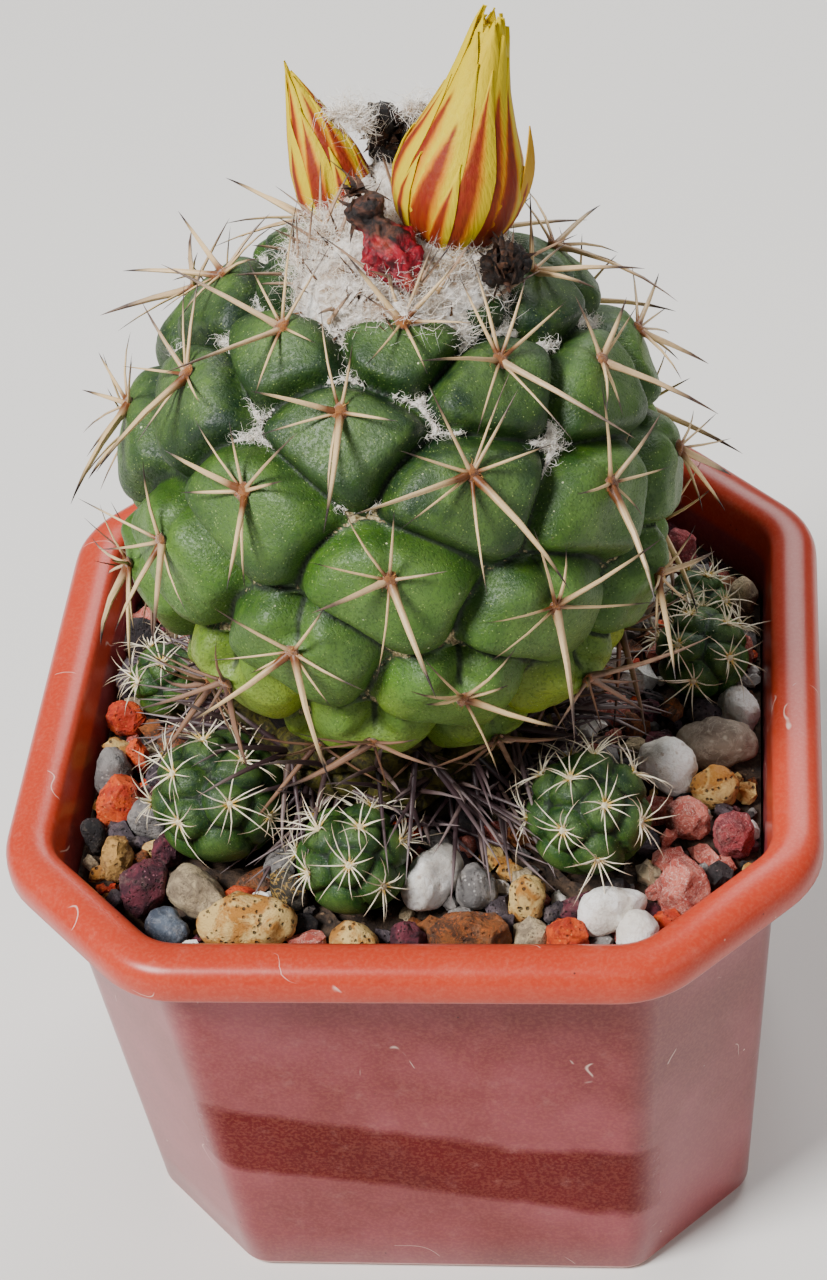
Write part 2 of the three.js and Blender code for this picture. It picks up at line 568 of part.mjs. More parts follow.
function makeWool(globeRoom, holes, others) {
  const at = (polar, round, radius) => GLOBE.clone().addScaledVector(towards(deg(polar), round), radius);
  const rows = WOOL_RINGS.map(([polar, radius], row) =>
    circle(WOOL_SIDES, (angle, i) => at(polar, angle, radius - WOOL_LUMP * chance(row * 23 + i)).toArray()));
  const cushion = skin(at(0, 0, WOOL_RINGS[0][1]).toArray(), rows, GLOBE.toArray());
  const spines = circle(YOUNG_SPINES.count, (angle, i) => {
    const round = angle + 0.5 * chance(i + 61);
    const out = towards(deg(YOUNG_SPINES.polar), round);
    const clock = 360 * chance(i + 71);
    const length = YOUNG_SPINES.length * (0.8 + 0.4 * chance(i + 81));
    return {
      foot: at(YOUNG_SPINES.polar, round, WOOL_RINGS[3][1] - 0.4),
      direction: ruledDirection(tubercle(0, out, LEAN, 1), clock, YOUNG_SPINES.lift),
      out,
      length,
      radius: YOUNG_SPINES.radius,
    };
  });
  const wool = withSpines(cushion, spines, others).subtract(wasm.Manifold.union([globeRoom, ...holes]));
  return mainBody(wool);
}

// Gravel: colour, place, length, width, height and turn in degrees; worn stones first, then broken ones.
const WORN = [
  ["cream", -18.7, -37.2, 11.6, 6.4, 7.5, 0], ["cream", -5.9, -39.2, 6.2, 4.4, 5.5, 5],
  ["white", 3.2, -29.8, 9.5, 5.4, 8, 60], ["white", 24.6, -34.6, 8, 4.4, 6.2, 20],
  ["white", 28.2, -38.6, 6, 5, 6.4, 75], ["white", 31.4, -10.6, 8.2, 5.2, 7.4, -38],
  ["white", 39.4, 0.3, 6.6, 4.6, 7.2, -60], ["grey", 8.3, -31, 4.6, 4.2, 6.5, 20],
  ["grey", -40.6, -11.4, 6, 4.4, 7.6, 80], ["grey", -33.6, -19.6, 5, 3.8, 6.2, 10],
  ["slate", -28.6, -36.4, 5.6, 4.2, 5.6, -40], ["taupe", 37.6, -6.6, 10, 5.2, 7.4, -5],
  ["cream", 37.6, -14, 9.4, 5.4, 7.2, -8], ["black", -41, -21.8, 4, 3, 6.4, 75],
  ["black", -40.6, 14.4, 4.6, 4, 7.4, 20], ["tan", -25.6, -31.6, 8, 5.2, 6.8, -30],
  ["grey", 11.4, 39.6, 7.5, 5, 7, 12], ["white", -14, 39.2, 7.4, 5.4, 7, -20],
  ["taupe", -36, 27, 7.8, 5.4, 6.8, 40], ["cream", 5.6, 32.6, 8.2, 5.8, 6.8, -25],
  ["slate", -22.4, 31, 7.6, 5.6, 6.6, 15],
];
const BROKEN = [
  ["orange", -37.4, -16.6, 7.4, 6, 8.2, 40], ["orange", -36.4, -8.4, 4.8, 4.6, 7.4, 10],
  ["orange", -39.4, -1, 5.4, 3.4, 6.6, 0], ["orange", 19.6, -38, 6.8, 5.4, 7.2, -15],
  ["maroon", -32.4, -31, 7.4, 5.6, 8, 40], ["maroon", -30.6, -25, 4.2, 3.4, 6, 30],
  ["maroon", 0.4, -38.4, 4.6, 4.2, 6.2, 20], ["ochre", -36.8, -25.6, 5.4, 3.8, 6.6, 75],
  ["gold", -14.6, -31.2, 6, 3.8, 6.4, -35], ["brown", 8, -37.6, 11, 5.6, 7.4, 3],
  ["cream", 14.4, -32.6, 5.4, 4.6, 6.8, 30], ["pink", 33.2, -30.6, 7.6, 6.8, 8.4, 45],
  ["rose", 39.2, -22, 5.4, 4.8, 7.4, 0], ["pink", 33.6, -19.6, 5.8, 4.6, 6.8, -15],
  ["pink", 40.6, 11.4, 4.2, 3.6, 7, 75], ["lava", -40.4, 6.8, 6, 4, 7, 78],
  ["pink", -36.6, 19.4, 5.2, 3.8, 6.6, -40], ["lava", -2, 39.8, 6.4, 4.8, 7, 0],
  ["orange", 24.4, 38.4, 6.6, 5.2, 7.2, -30], ["rose", 31.6, 30, 6, 5, 7.4, 50],
  ["tan", 40.2, 22, 5, 4, 7, 60], ["ochre", 19.4, 31.4, 7, 5.6, 7, 35],
  ["brown", -8.6, 33, 7.2, 5.4, 7, 10], ["orange", -29.8, 24, 6.2, 5.2, 7, 70],
];

// One stone: a ball or a twelve-faced block, roughened, stretched, turned and flattened beneath.
function stone(kind, [, x, y, long, wide, tall, turn], seed) {
  const geometry = kind === "worn" ? new THREE.IcosahedronGeometry(1, 1) : new THREE.DodecahedronGeometry(1);
  const position = geometry.attributes.position;
  const half = new THREE.Vector3(long / 2, wide / 2, tall / 2);
  const foot = -tall * 0.34;
  for (let i = 0; i < position.count; i++) {
    const p = new THREE.Vector3().fromBufferAttribute(position, i);
    const key = Math.round(p.x * 50) + 131 * Math.round(p.y * 50) + 17389 * Math.round(p.z * 50);
    p.multiplyScalar(0.9 + 0.2 * chance(seed * 3.7 + key * 0.013)).multiply(half);
    p.applyAxisAngle(UP, deg(turn));
    position.setXYZ(i, p.x + x, p.y + y, Math.max(p.z, foot) - foot + GRAVEL_FOOT);
  }
  return solidOf(geometry);
}

// A stone let down until it lies just clear of the mix.
function letDown(solid, mix) {
  let low = 0;
  let high = MIX_LUMP + CLEAR;
  for (let halving = 0; halving < 5; halving++) {
    const middle = (low + high) / 2;
    if (meets(solid.translate([0, 0, -middle - CLEAR]), mix)) {
      high = middle;
    } else {
      low = middle;
    }
  }
  return solid.translate([0, 0, -low]);
}

// A stone where the list puts it, shifted inwards off the pot's wall and shrunk where it crowds another.
function settle(kind, row, seed, room, mix, others) {
  const placed = [...row];
  for (let attempt = 0; attempt < 30; attempt++) {
    const wide = [...placed];
    wide[3] += CLEAR * 1.6;
    wide[4] += CLEAR * 1.6;
    const space = letDown(stone(kind, wide, seed), mix);
    if (space.subtract(room).volume() > 1e-3) {
      placed[1] *= 0.985;
      placed[2] *= 0.985;
    } else if (others.some((other) => meets(space, other))) {
      placed[3] *= 0.96;
      placed[4] *= 0.96;
    } else {
      return letDown(stone(kind, placed, seed), mix);
    }
  }
  throw new Error(`no room for stone ${row}`);
}

function makeGravel(mix, blocks) {
  const room = makeRoom();
  const made = [];
  const counts = {};
  [...WORN, ...BROKEN].forEach((row, index) => {
    const kind = index < WORN.length ? "worn" : "broken";
    const solid = settle(kind, row, index + 1, room, mix, [...blocks, ...made.map((m) => m.solid)]);
    const [colour] = row;
    counts[colour] = (counts[colour] ?? 0) + 1;
    made.push({ name: `pebble_${colour}_${counts[colour]}`, colour, solid });
  });
  return made;
}

// The potting mix: it fills the pot, its top lumpy like packed grit, with plain holes for the roots.
function makeMix() {
  const inset = WALL + CLEAR;
  const shore = wallOutline(inset, MIX_TOP - MIX_LUMP);
  const rows = [wallOutline(inset, FLOOR + CLEAR), shore];
  for (let band = 1; band < MIX_BANDS; band++) {
    rows.push(shore.map(([x, y], i) => {
      const share = 1 - band / MIX_BANDS;
      return [x * share, y * share, MIX_TOP - MIX_LUMP * chance(band * 41 + i)];
    }));
  }
  let mix = skin([0, 0, FLOOR + CLEAR], rows, [0, 0, MIX_TOP]);
  mix = mix.subtract(rod(NECK_X, NECK_Y, STEM_END - CLEAR, MIX_TOP + 1, STEM_RADIUS + CLEAR, 16));
  for (const { x, y, r } of PUPS) {
    const low = MIX_TOP - PUP_ROOT.depth - CLEAR;
    mix = mix.subtract(rod(x, y, low, MIX_TOP + 1, r * PUP_ROOT.share + CLEAR, 10));
  }
  return mix;
}

// One bit of grit: an eight-sided chip, uneven, turned, and larger by grow.
function chip(x, y, half, seed, grow) {
  const geometry = new THREE.OctahedronGeometry(1);
  const position = geometry.attributes.position;
  for (let i = 0; i < position.count; i++) {
    const p = new THREE.Vector3().fromBufferAttribute(position, i);
    const key = Math.round(p.x) + 3 * Math.round(p.y) + 9 * Math.round(p.z);
    p.multiplyScalar(half * (0.75 + 0.5 * chance(seed + key * 0.37)) + grow);
    p.applyAxisAngle(new THREE.Vector3(1, 0, 0), 0.6 * chance(seed * 1.9));
    p.applyAxisAngle(UP, 6.3 * chance(seed * 2.3));
    position.setXYZ(i, p.x + x, p.y + y, p.z + MIX_TOP - GRIT.sunk);
  }
  return solidOf(geometry);
}

// The mix with grit fused to it in the gaps between the stones, clear of what stands round it.
function withGrit(mix, others) {
  const room = makeRoom();
  const kept = [];
  for (let i = 1; i <= GRIT.tries && kept.length < GRIT.count; i++) {
    const [x, y, size] = [chance(i * 1.7), chance(i * 2.9 + 0.4), chance(i * 4.3 + 0.8)];
    const half = GRIT.least + (GRIT.most - GRIT.least) * size;
    const bit = { x: GRIT.spread * (2 * x - 1), y: GRIT.spread * (2 * y - 1), half };
    const space = chip(bit.x, bit.y, half, i, 2 * CLEAR);
    const crowded = kept.some((k) => Math.hypot(k.x - bit.x, k.y - bit.y) < 0.9 * (k.half + half));
    if (!crowded && space.subtract(room).volume() < 1e-3 && !others.some((other) => meets(space, other))) {
      kept.push({ ...bit, solid: chip(bit.x, bit.y, half, i, 0) });
    }
  }
  return mainBody(wasm.Manifold.union([mix, ...kept.map((k) => k.solid)]));
}

const COLOURS = {
  pot: 0xc8553d, potting_mix: 0x3b2c22, cactus: 0x4f7d3a, offset: 0x2f5f34, crown_wool: 0xe9e2d8,
  bud: 0xe3c021, dried_fruit: 0x8f2a2a, dried_flower_right: 0x2a211d, dried_flower_back: 0x3a322e,
  cream: 0xd9b27c, white: 0xe8e2da, grey: 0x86807c, slate: 0x55606c, taupe: 0x8a7a68, black: 0x25211f,
  tan: 0xb9a184, orange: 0xdb5a22, maroon: 0x7a3f4b, ochre: 0xb28a52, gold: 0x54452c, brown: 0x8b5a2e,
  pink: 0xd98a7c, rose: 0xa5525a, lava: 0x5d5058,
};

const group = new THREE.Group();

function addNode(name, solid, colour, roughness) {
  const material = new THREE.MeshStandardMaterial({ color: COLOURS[colour], roughness, metalness: 0 });
  const mesh = new THREE.Mesh(geometryOf(solid), material);
  mesh.name = name;
  group.add(mesh);
}

const pot = makePot();
const tips = [...TUBERCLES.map((t) => t.out), LEAN, LEAN.clone().negate()];
const globeFacets = tuberculate(tips, globeRadius, [FLANK]);
const sockets = wasm.Manifold.union(BUDS.map((bud) => makeBud(bud, CLEAR + 0.1)));
const plant = ballOf(globeFacets, GLOBE, globeRadius).add(makeNeck()).subtract(sockets);
const plainPups = PUPS.map((pup) => makePup(pup));
const bareMix = makeMix();
const grown = [plant, ...PUPS.map((pup) => makePup(pup, undefined, CLEAR))];
const gravel = makeGravel(bareMix, grown);
const stones = gravel.map((g) => g.solid);
const mix = withGrit(bareMix, [...grown, ...stones]);
const buds = BUDS.map((bud) => makeBud(bud));
const remains = REMAINS.map((r, i) => makeRemains(r, i));
const woolHoles = [sockets, ...REMAINS.map((r, i) => makeRemains(r, i, CLEAR + 0.1))];
const wool = makeWool(ballOf(globeFacets, GLOBE, globeRadius, CLEAR + 0.15), woolHoles, [...buds, ...remains]);
const mainSpines = TUBERCLES.filter((t) => t.n >= 0).flatMap(clusterOf);
const ground = [pot, mix, ...stones];
const cactus = withSpines(plant, mainSpines, [...ground, wool, ...plainPups, ...buds, ...remains]);

addNode("pot", pot, "pot", 0.45);
addNode("potting_mix", mix, "potting_mix", 0.95);
addNode("cactus", cactus, "cactus", 0.55);
addNode("crown_wool", wool, "crown_wool", 1);
BUDS.forEach((bud, i) => addNode(bud.name, buds[i], "bud", 0.6));
REMAINS.forEach((r, i) => addNode(r.name, remains[i], r.name, 0.95));
PUPS.forEach((pup, i) => {
  const others = [...ground, cactus, ...plainPups.filter((_, k) => k !== i)];
  addNode(pup.name, makePup(pup, others), "offset", 0.55);
});
gravel.forEach((g) => addNode(g.name, g.solid, g.colour, 0.85));

export default group;
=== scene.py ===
import json
from math import acos, atan2, cos, exp, floor, hypot, log, pi, radians, sin, sqrt, tan
from random import Random
import bmesh
import bpy
from mathutils import Matrix, Vector, noise
from mathutils.bvhtree import BVHTree

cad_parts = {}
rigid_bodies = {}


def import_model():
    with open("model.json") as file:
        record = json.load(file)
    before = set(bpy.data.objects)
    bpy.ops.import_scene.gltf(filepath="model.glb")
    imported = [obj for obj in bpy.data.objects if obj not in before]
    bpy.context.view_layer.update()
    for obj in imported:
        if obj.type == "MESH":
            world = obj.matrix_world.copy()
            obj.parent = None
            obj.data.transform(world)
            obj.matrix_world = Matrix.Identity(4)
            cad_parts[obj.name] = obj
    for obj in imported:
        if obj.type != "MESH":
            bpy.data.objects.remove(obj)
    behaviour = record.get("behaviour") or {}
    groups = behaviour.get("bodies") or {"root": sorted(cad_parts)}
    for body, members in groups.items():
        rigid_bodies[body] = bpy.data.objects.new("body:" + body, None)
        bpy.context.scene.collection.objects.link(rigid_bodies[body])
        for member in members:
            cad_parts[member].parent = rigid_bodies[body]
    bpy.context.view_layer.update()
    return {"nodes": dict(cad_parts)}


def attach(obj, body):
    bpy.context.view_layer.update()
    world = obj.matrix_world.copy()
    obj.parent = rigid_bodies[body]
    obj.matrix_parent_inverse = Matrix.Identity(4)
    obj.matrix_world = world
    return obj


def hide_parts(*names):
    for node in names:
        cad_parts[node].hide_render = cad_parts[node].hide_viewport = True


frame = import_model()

# Sizes are in millimetres and are made metres as each mesh is written.
MM = 0.001

# Pot
RIM_HALF = 50
RIM_CUT = 18.9
RIM_ROUND = 13.2
POT_HEIGHT = 70.4
LIP_WIDTH = 6.2
LIP_DROP = 5
WALL = 1.4
BASE_HALF = 40
BASE_CUT = 14.5
BASE_ROUND = 5
FLOOR = 2.8
FOOT_RECESS = 1.2
FOOT_WIDTH = 4.5
DRAIN_RADIUS = 3.2
DRAIN_SPREAD = 19
DRAIN_DEPTH = 6
CORNER_STEPS = 7

# Filling
CLEAR = 0.3
MIX_TOP = 62.7
GRIT_TRIED = 42
GRIT_REACH = 42.4
GRIT_CORNER = 69
GRIT_FROM_NECK = 16.5

# Globe, the spirals of its tubercles, and the shape of their creases
GLOBE = Vector((-0.2, 0.2, 103.4))
GLOBE_R = 33.9
GLOBE_RZ = 32.9
LEAN = Vector((0.079, 0.074, 1)).normalized()
TURN = -137.36
TURN_START = -82.2
POLAR_START = 23.1
POLAR_STEP = 2.52
POLAR_EASE = 0.0049
TUBERCLE_RANGE = (-4, 58)
DOME = (13.8, 6.6, 15.4)
ROUNDING = 3.6
SLOPE = 2.1
FOLD = 2.5
WOOL_DEPTH = 2.7
BODY_CUTS = 63

# Spines and areoles
STOUT_COUNT = 2
STOUT = {"radius": 0.5, "lift": 36, "droop": 0.14, "length": 13}
SLIM = {"radius": 0.24, "lift": 19, "droop": 0.12, "length": 9.5}
PAD_RADIUS = 1.2
LONGEST_SPINE = 19
LEAST_SHOWN = 0.45
LAST_FRESH = 36

# Wool and down
DOWN_RADIUS = 0.035
PAD_SIZES = (0.85, 1.1, 0.5)
AXIL_HAIRS = 2100
CROWN_HAIRS = 6000
CROWN_STRAWS = 700
CROWN_FLECKS = 220
YOUNG_SPINES = 44
CROWN_TOP = 34.2
CROWN_SIDES = 56
CROWN_SPREAD = 27.5
CROWN_FLAT = 17
CROWN_FALL = 0.055
STRAW_MIDDLE = Vector((7.4, 3.6, 139))
STRAW_SPREAD = (4.8, 7.5)

# Offsets and neck
PUP_CUTS = 11
PUP_DOME = (2, 1.75, 2)
PUP_SLOPE = 0.07
PUP_FOLD = 0.11
PUP_SPINES = 11
PUP_SPINE_RADIUS = 0.105
PUP_PAD_SIZES = (0.45, 0.5, 0.3)
NECK_SIDES = 72
NECK_LOW = 64.6
NECK_RISE = 16.5
NECK_PLACES = 110
NECK_SPINES = 5
NECK_CLEAR = 2
SHRUNK_FROM = 72

UP = Vector((0, 0, 1))
EAST = Vector((0, 1, 0)).cross(LEAN).normalized()
NORTH = LEAN.cross(EAST)
WORLD = (Vector((1, 0, 0)), Vector((0, 1, 0)), UP)

# The slot and the solid of what grows on the globe and on its crown
ON_GLOBE = ("cactus_skin", "cactus")
ON_CROWN = ("crown_wool", "crown_wool")


# The same repeatable draw between 0 and 1 as the solids use
def chance(seed):
    s = sin(seed * 12.9898) * 43758.5453
    return s - floor(s)


def wander(draw, low=-1, high=1):
    return Vector((draw.uniform(-1, 1), draw.uniform(-1, 1), draw.uniform(low, high)))


def lerp(a, b, t):
    return a + (b - a) * t


def smooth(low, high, value):
    t = min(max((value - low) / (high - low), 0), 1)
    return t * t * (3 - 2 * t)


def angles(count):
    return [2 * pi * k / count for k in range(count)]


def towards(polar, turn, axes=(EAST, NORTH, LEAN)):
    flat = axes[0] * cos(turn) + axes[1] * sin(turn)
    return flat * sin(polar) + axes[2] * cos(polar)


# Mesh helpers
def start_fresh():
    if bpy.context.object and bpy.context.object.mode != "OBJECT":
        bpy.ops.object.mode_set(mode="OBJECT")
    bpy.ops.object.select_all(action="DESELECT")


def pick(piece):
    start_fresh()
    piece.select_set(True)
    bpy.context.view_layer.objects.active = piece


def modified(piece, kind, **settings):
    modifier = piece.modifiers.new(kind, kind)
    for name, value in settings.items():
        setattr(modifier, name, value)
    pick(piece)
    bpy.ops.object.modifier_apply(modifier=modifier.name)


# Gives every point of a piece a value under each name, or the same value to all of them.
def mark(piece, **marks):
    for name, values in marks.items():
        if not isinstance(values, list):
            values = [values] * len(piece.data.vertices)
        layer = piece.data.attributes.new(name, "FLOAT", "POINT")
        layer.data.foreach_set("value", values)


# A closed skin through rings of points, each ring extruded from the one before it
def lofted(name, rings):
    start_fresh()
    bpy.ops.mesh.primitive_circle_add(vertices=len(rings[0]), radius=1, fill_type="NGON")
    piece = bpy.context.object
    piece.name = name
    bpy.ops.object.mode_set(mode="EDIT")
    mesh = bmesh.from_edit_mesh(piece.data)
    place = mesh.verts.layers.int.new("place")
    for index, vert in enumerate(mesh.verts):
        vert[place] = index
        vert.co = Vector(rings[0][index]) * MM
    for ring in rings[1:]:
        bpy.ops.mesh.extrude_region_move()
        mesh = bmesh.from_edit_mesh(piece.data)
        place = mesh.verts.layers.int["place"]
        for vert in mesh.verts:
            if vert.select:
                vert.co = Vector(ring[vert[place]]) * MM
        bmesh.update_edit_mesh(piece.data)
    bpy.ops.mesh.select_all(action="SELECT")
    bpy.ops.mesh.normals_make_consistent(inside=False)
    bpy.ops.object.mode_set(mode="OBJECT")
    return piece


# A fine ball: a cube cut evenly, whose points are moved out to a radius worked out for each direction
def balled(name, middle, cuts, radius_at):
    start_fresh()
    bpy.ops.mesh.primitive_cube_add(size=2)
    piece = bpy.context.object
    piece.name = name
    bpy.ops.object.mode_set(mode="EDIT")
    bpy.ops.mesh.subdivide(number_cuts=1)
    bpy.ops.mesh.subdivide(number_cuts=cuts)
    bpy.ops.object.mode_set(mode="OBJECT")
    for vert in piece.data.vertices:
        direction = Vector([tan(c * pi / 4) for c in vert.co]).normalized()
        vert.co = (middle + direction * radius_at(direction)) * MM
    return piece


def linked(name, data):
    piece = bpy.data.objects.new(name, data)
    bpy.context.scene.collection.objects.link(piece)
    return piece


def discard(*models):
    for model in models:
        bpy.data.objects.remove(model)


# Gives a piece its shading and material, its body, and the solids it stands for.
def settled(piece, material, slot, *nodes, angle=60):
    pick(piece)
    bpy.ops.object.shade_smooth_by_angle(angle=radians(angle))
    piece.data.materials.clear()
    piece.data.materials.append(material)
    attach(piece, "root")
    if nodes:
        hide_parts(*nodes)


# Many copies of one small model in one mesh: each move turns a point of the model into its place.
def strewn(name, model, moves, material, slot, *nodes, angle=60):
    points = [vert.co.copy() for vert in model.data.vertices]
    faces = [list(face.vertices) for face in model.data.polygons]
    verts, polygons, tints, alongs = [], [], [], []
    for index, move in enumerate(moves):
        first = len(verts)
        verts += [move(point) * MM for point in points]
        polygons += [[first + corner for corner in face] for face in faces]
        tints += [chance(index * 3.1 + 0.7)] * len(points)
        alongs += [point.z for point in points]
    data = bpy.data.meshes.new(name)
    data.from_pydata(verts, [], polygons)
    piece = linked(name, data)
    mark(piece, tint=tints, along=alongs)
    settled(piece, material, slot, *nodes, angle=angle)


# Shader helpers: this one makes a sum of two values, wires or numbers, as a method of a wire.
def worked(operation, swapped=False):
    def method(self, other):
        first, second = (other, self) if swapped else (self, other)
        return self.shader.node("Math", {"operation": operation}, {0: first, 1: second})

    return method


class Wire:
    """A socket with a number, colour or vector, on which sums can be written."""

    def __init__(self, shader, socket):
        self.shader = shader
        self.socket = socket

    __add__ = __radd__ = worked("ADD")
    __mul__ = __rmul__ = worked("MULTIPLY")
    __sub__ = worked("SUBTRACT")
    __rsub__ = worked("SUBTRACT", swapped=True)


# A colour as a shader takes it, from three numbers as it looks on a screen. Others stay as they are.
def painted(colour):
    if isinstance(colour, Wire) or len(colour) == 4:
        return colour
    return (*[((c / 255 + 0.055) / 1.055) ** 2.4 if c > 10 else c / 255 / 12.92 for c in colour], 1)


class Shader:
    """One material: nodes are made by the method called node, and colour is its colour so far."""

    def __init__(self, name):
        self.material = bpy.data.materials.new(name)
        self.material.use_nodes = True
        self.tree = self.material.node_tree
        self.tree.nodes.clear()
        self.place = self.node("TexCoord", out="Object")
        self.colour = None

    # A node of a type: its settings, then the values and links of its sockets, then which output is wanted
    def node(self, kind, settings=None, values=None, out=0):
        made = self.tree.nodes.new("ShaderNode" + kind)
        for name, setting in (settings or {}).items():
            if name == "stops":
                stops = made.color_ramp.elements
                while len(stops) < len(setting):
                    stops.new(1)
                for stop, (position, colour) in zip(stops, setting):
                    stop.position = position
                    stop.color = painted(colour)
            else:
                setattr(made, name, setting)
        for name, value in (values or {}).items():
            if isinstance(value, Wire):
                self.tree.links.new(value.socket, made.inputs[name])
            else:
                made.inputs[name].default_value = value
        return Wire(self, made.outputs[out]) if made.outputs else None

    def part(self, axis):
        return self.node("SeparateXYZ", {}, {0: self.place}, axis)

    def given(self, name):
        return self.node("Attribute", {"attribute_name": name}, out="Fac")

    def stretched(self, length):
        values = {0: self.place, 1: (1, 1, 1 / length)}
        return self.node("VectorMath", {"operation": "MULTIPLY"}, values)

    # Noise, with its size in millimetres
    def cloud(self, size, detail, roughness, shift=0, warp=0, place=None):
        added = {0: place or self.place, 1: (shift, shift, shift)}
        moved = self.node("VectorMath", {"operation": "ADD"}, added)
        values = {"Vector": moved, "Scale": 1 / (size * MM), "Detail": detail, "Roughness": roughness,
                  "Distortion": warp}
        return self.node("TexNoise", {}, values, "Fac")

    def cells(self, size):
        return self.node("TexVoronoi", {}, {"Vector": self.place, "Scale": 1 / (size * MM)}, "Distance")

    def step(self, wire, low, high):
        values = {"Value": wire, "From Min": low, "From Max": high}
        return self.node("MapRange", {"interpolation_type": "SMOOTHSTEP"}, values)

    # Patches of noise: none where it is under low, and full where it is over high
    def patch(self, low, high, *noise_values):
        return self.step(self.cloud(*noise_values), low, high)

    # Noise that swings to both sides of nought
    def sway(self, reach, *noise_values, place=None):
        return (self.cloud(*noise_values, place=place) - 0.5) * reach

    def dots(self, size, low, high):
        return 1 - self.step(self.cells(size), low, high)

    # A thin line where a value passes through nought
    def thread(self, wire, width):
        return (1 - self.step(wire, 0.0, width)) * self.step(wire, -width, 0.0)

    def mix(self, share, first, second, blend="MIX"):
        values = {0: share, 6: painted(first), 7: painted(second)}
        return self.node("Mix", {"data_type": "RGBA", "blend_type": blend}, values, 2)

    # Lays a colour over the colour so far.
    def lay(self, share, colour, blend="MIX"):
        self.colour = self.mix(share, self.colour, colour, blend)

    def ramp(self, wire, *stops):
        return self.node("ValToRGB", {"stops": stops}, {0: wire}, "Color")

    def bump(self, height, depth, strength):
        values = {"Height": height, "Distance": depth * MM, "Strength": strength}
        return self.node("Bump", {}, values, "Normal")

    def finish(self, **values):
        named = {name.replace("_", " "): value for name, value in values.items()}
        named["Base Color"] = painted(self.colour)
        surface = self.node("BsdfPrincipled", {}, named, "BSDF")
        self.node("OutputMaterial", {}, {"Surface": surface})
        return self.material


# Moulded plastic: walls with pink patches of painted reflected haze and a dark band of painted reflection in
# front, a brighter rim, dust, lint and scratches
def pot_plastic():
    s = Shader("pot_plastic")
    x, y, height = [s.part(axis) for axis in "XYZ"]
    s.colour = s.mix(s.cloud(26, 4, 0.6), (100, 18, 20), (122, 32, 34))
    # Pink patches of painted reflected haze
    s.lay(s.patch(0.3, 0.7, 30, 5, 0.65, 0.9) * 0.42, (176, 88, 100))
    # The dark band in front is a painted reflection, with less coat where it lies
    wobble = s.sway(0.007, 18, 3, 0.6, 0.3)
    tilted = height + x * 0.19 + wobble
    band = s.step(tilted, 0.0172, 0.0192) * (1 - s.step(tilted, 0.0304, 0.0326))
    band = band * s.step(0 - y, 0.02, 0.03) * (1 - s.step(x * x + wobble * 0.02, 0.0006, 0.00095))
    s.lay(band * 0.9, s.mix(s.cloud(12, 5, 0.65, 3.3), (70, 4, 4), (104, 0, 0)))
    s.lay(1 - s.step(height, 0.0006, 0.0014), (206, 150, 140))
    rim = s.mix(s.cloud(14, 4, 0.6, 0.1), (170, 46, 26), (186, 64, 40))
    s.lay(s.step(height, 0.0648, 0.0662), rim)
    dust = s.patch(0.52, 0.8, 3, 8, 0.75, 0.5)
    s.lay(dust * 0.12, (220, 170, 156))
    grain = s.patch(0.4, 0.66, 0.45, 3, 0.6, 1.2)
    s.lay(grain * 0.08, (230, 150, 116))
    specks = s.dots(2.6, 0.03, 0.07) * s.patch(0.5, 0.6, 9, 4, 0.6, 1.4)
    s.lay(specks * 0.8, (50, 26, 22))
    lint = s.dots(5.3, 0.016, 0.034) * s.patch(0.5, 0.56, 12, 3, 0.6, 2.4)
    s.lay(lint * 0.8, (238, 214, 190))
    lip = s.step(height, 0.064, 0.066)
    hair = s.thread(s.cloud(17, 2, 0.4, 5.1, 0.5) - 0.5, 0.0035)
    scratches = hair * s.step(s.cloud(8, 2, 0.5, 2) + lip * 0.05, 0.61, 0.65)
    s.lay(scratches * 0.65, (240, 206, 190))
    ripple = s.cloud(16, 2, 0.4) * 0.5 + grain * 0.02 - scratches * 0.04
    rough = 0.3 + dust * 0.16 + scratches * 0.25 + specks * 0.3 - band * 0.12 + lip * 0.06
    return s.finish(Roughness=rough, Normal=s.bump(ripple, 0.5, 0.35), IOR=1.14,
                    Coat_Weight=(1 - band * 0.85) * 0.72, Coat_Roughness=0.3, Coat_IOR=1.36)
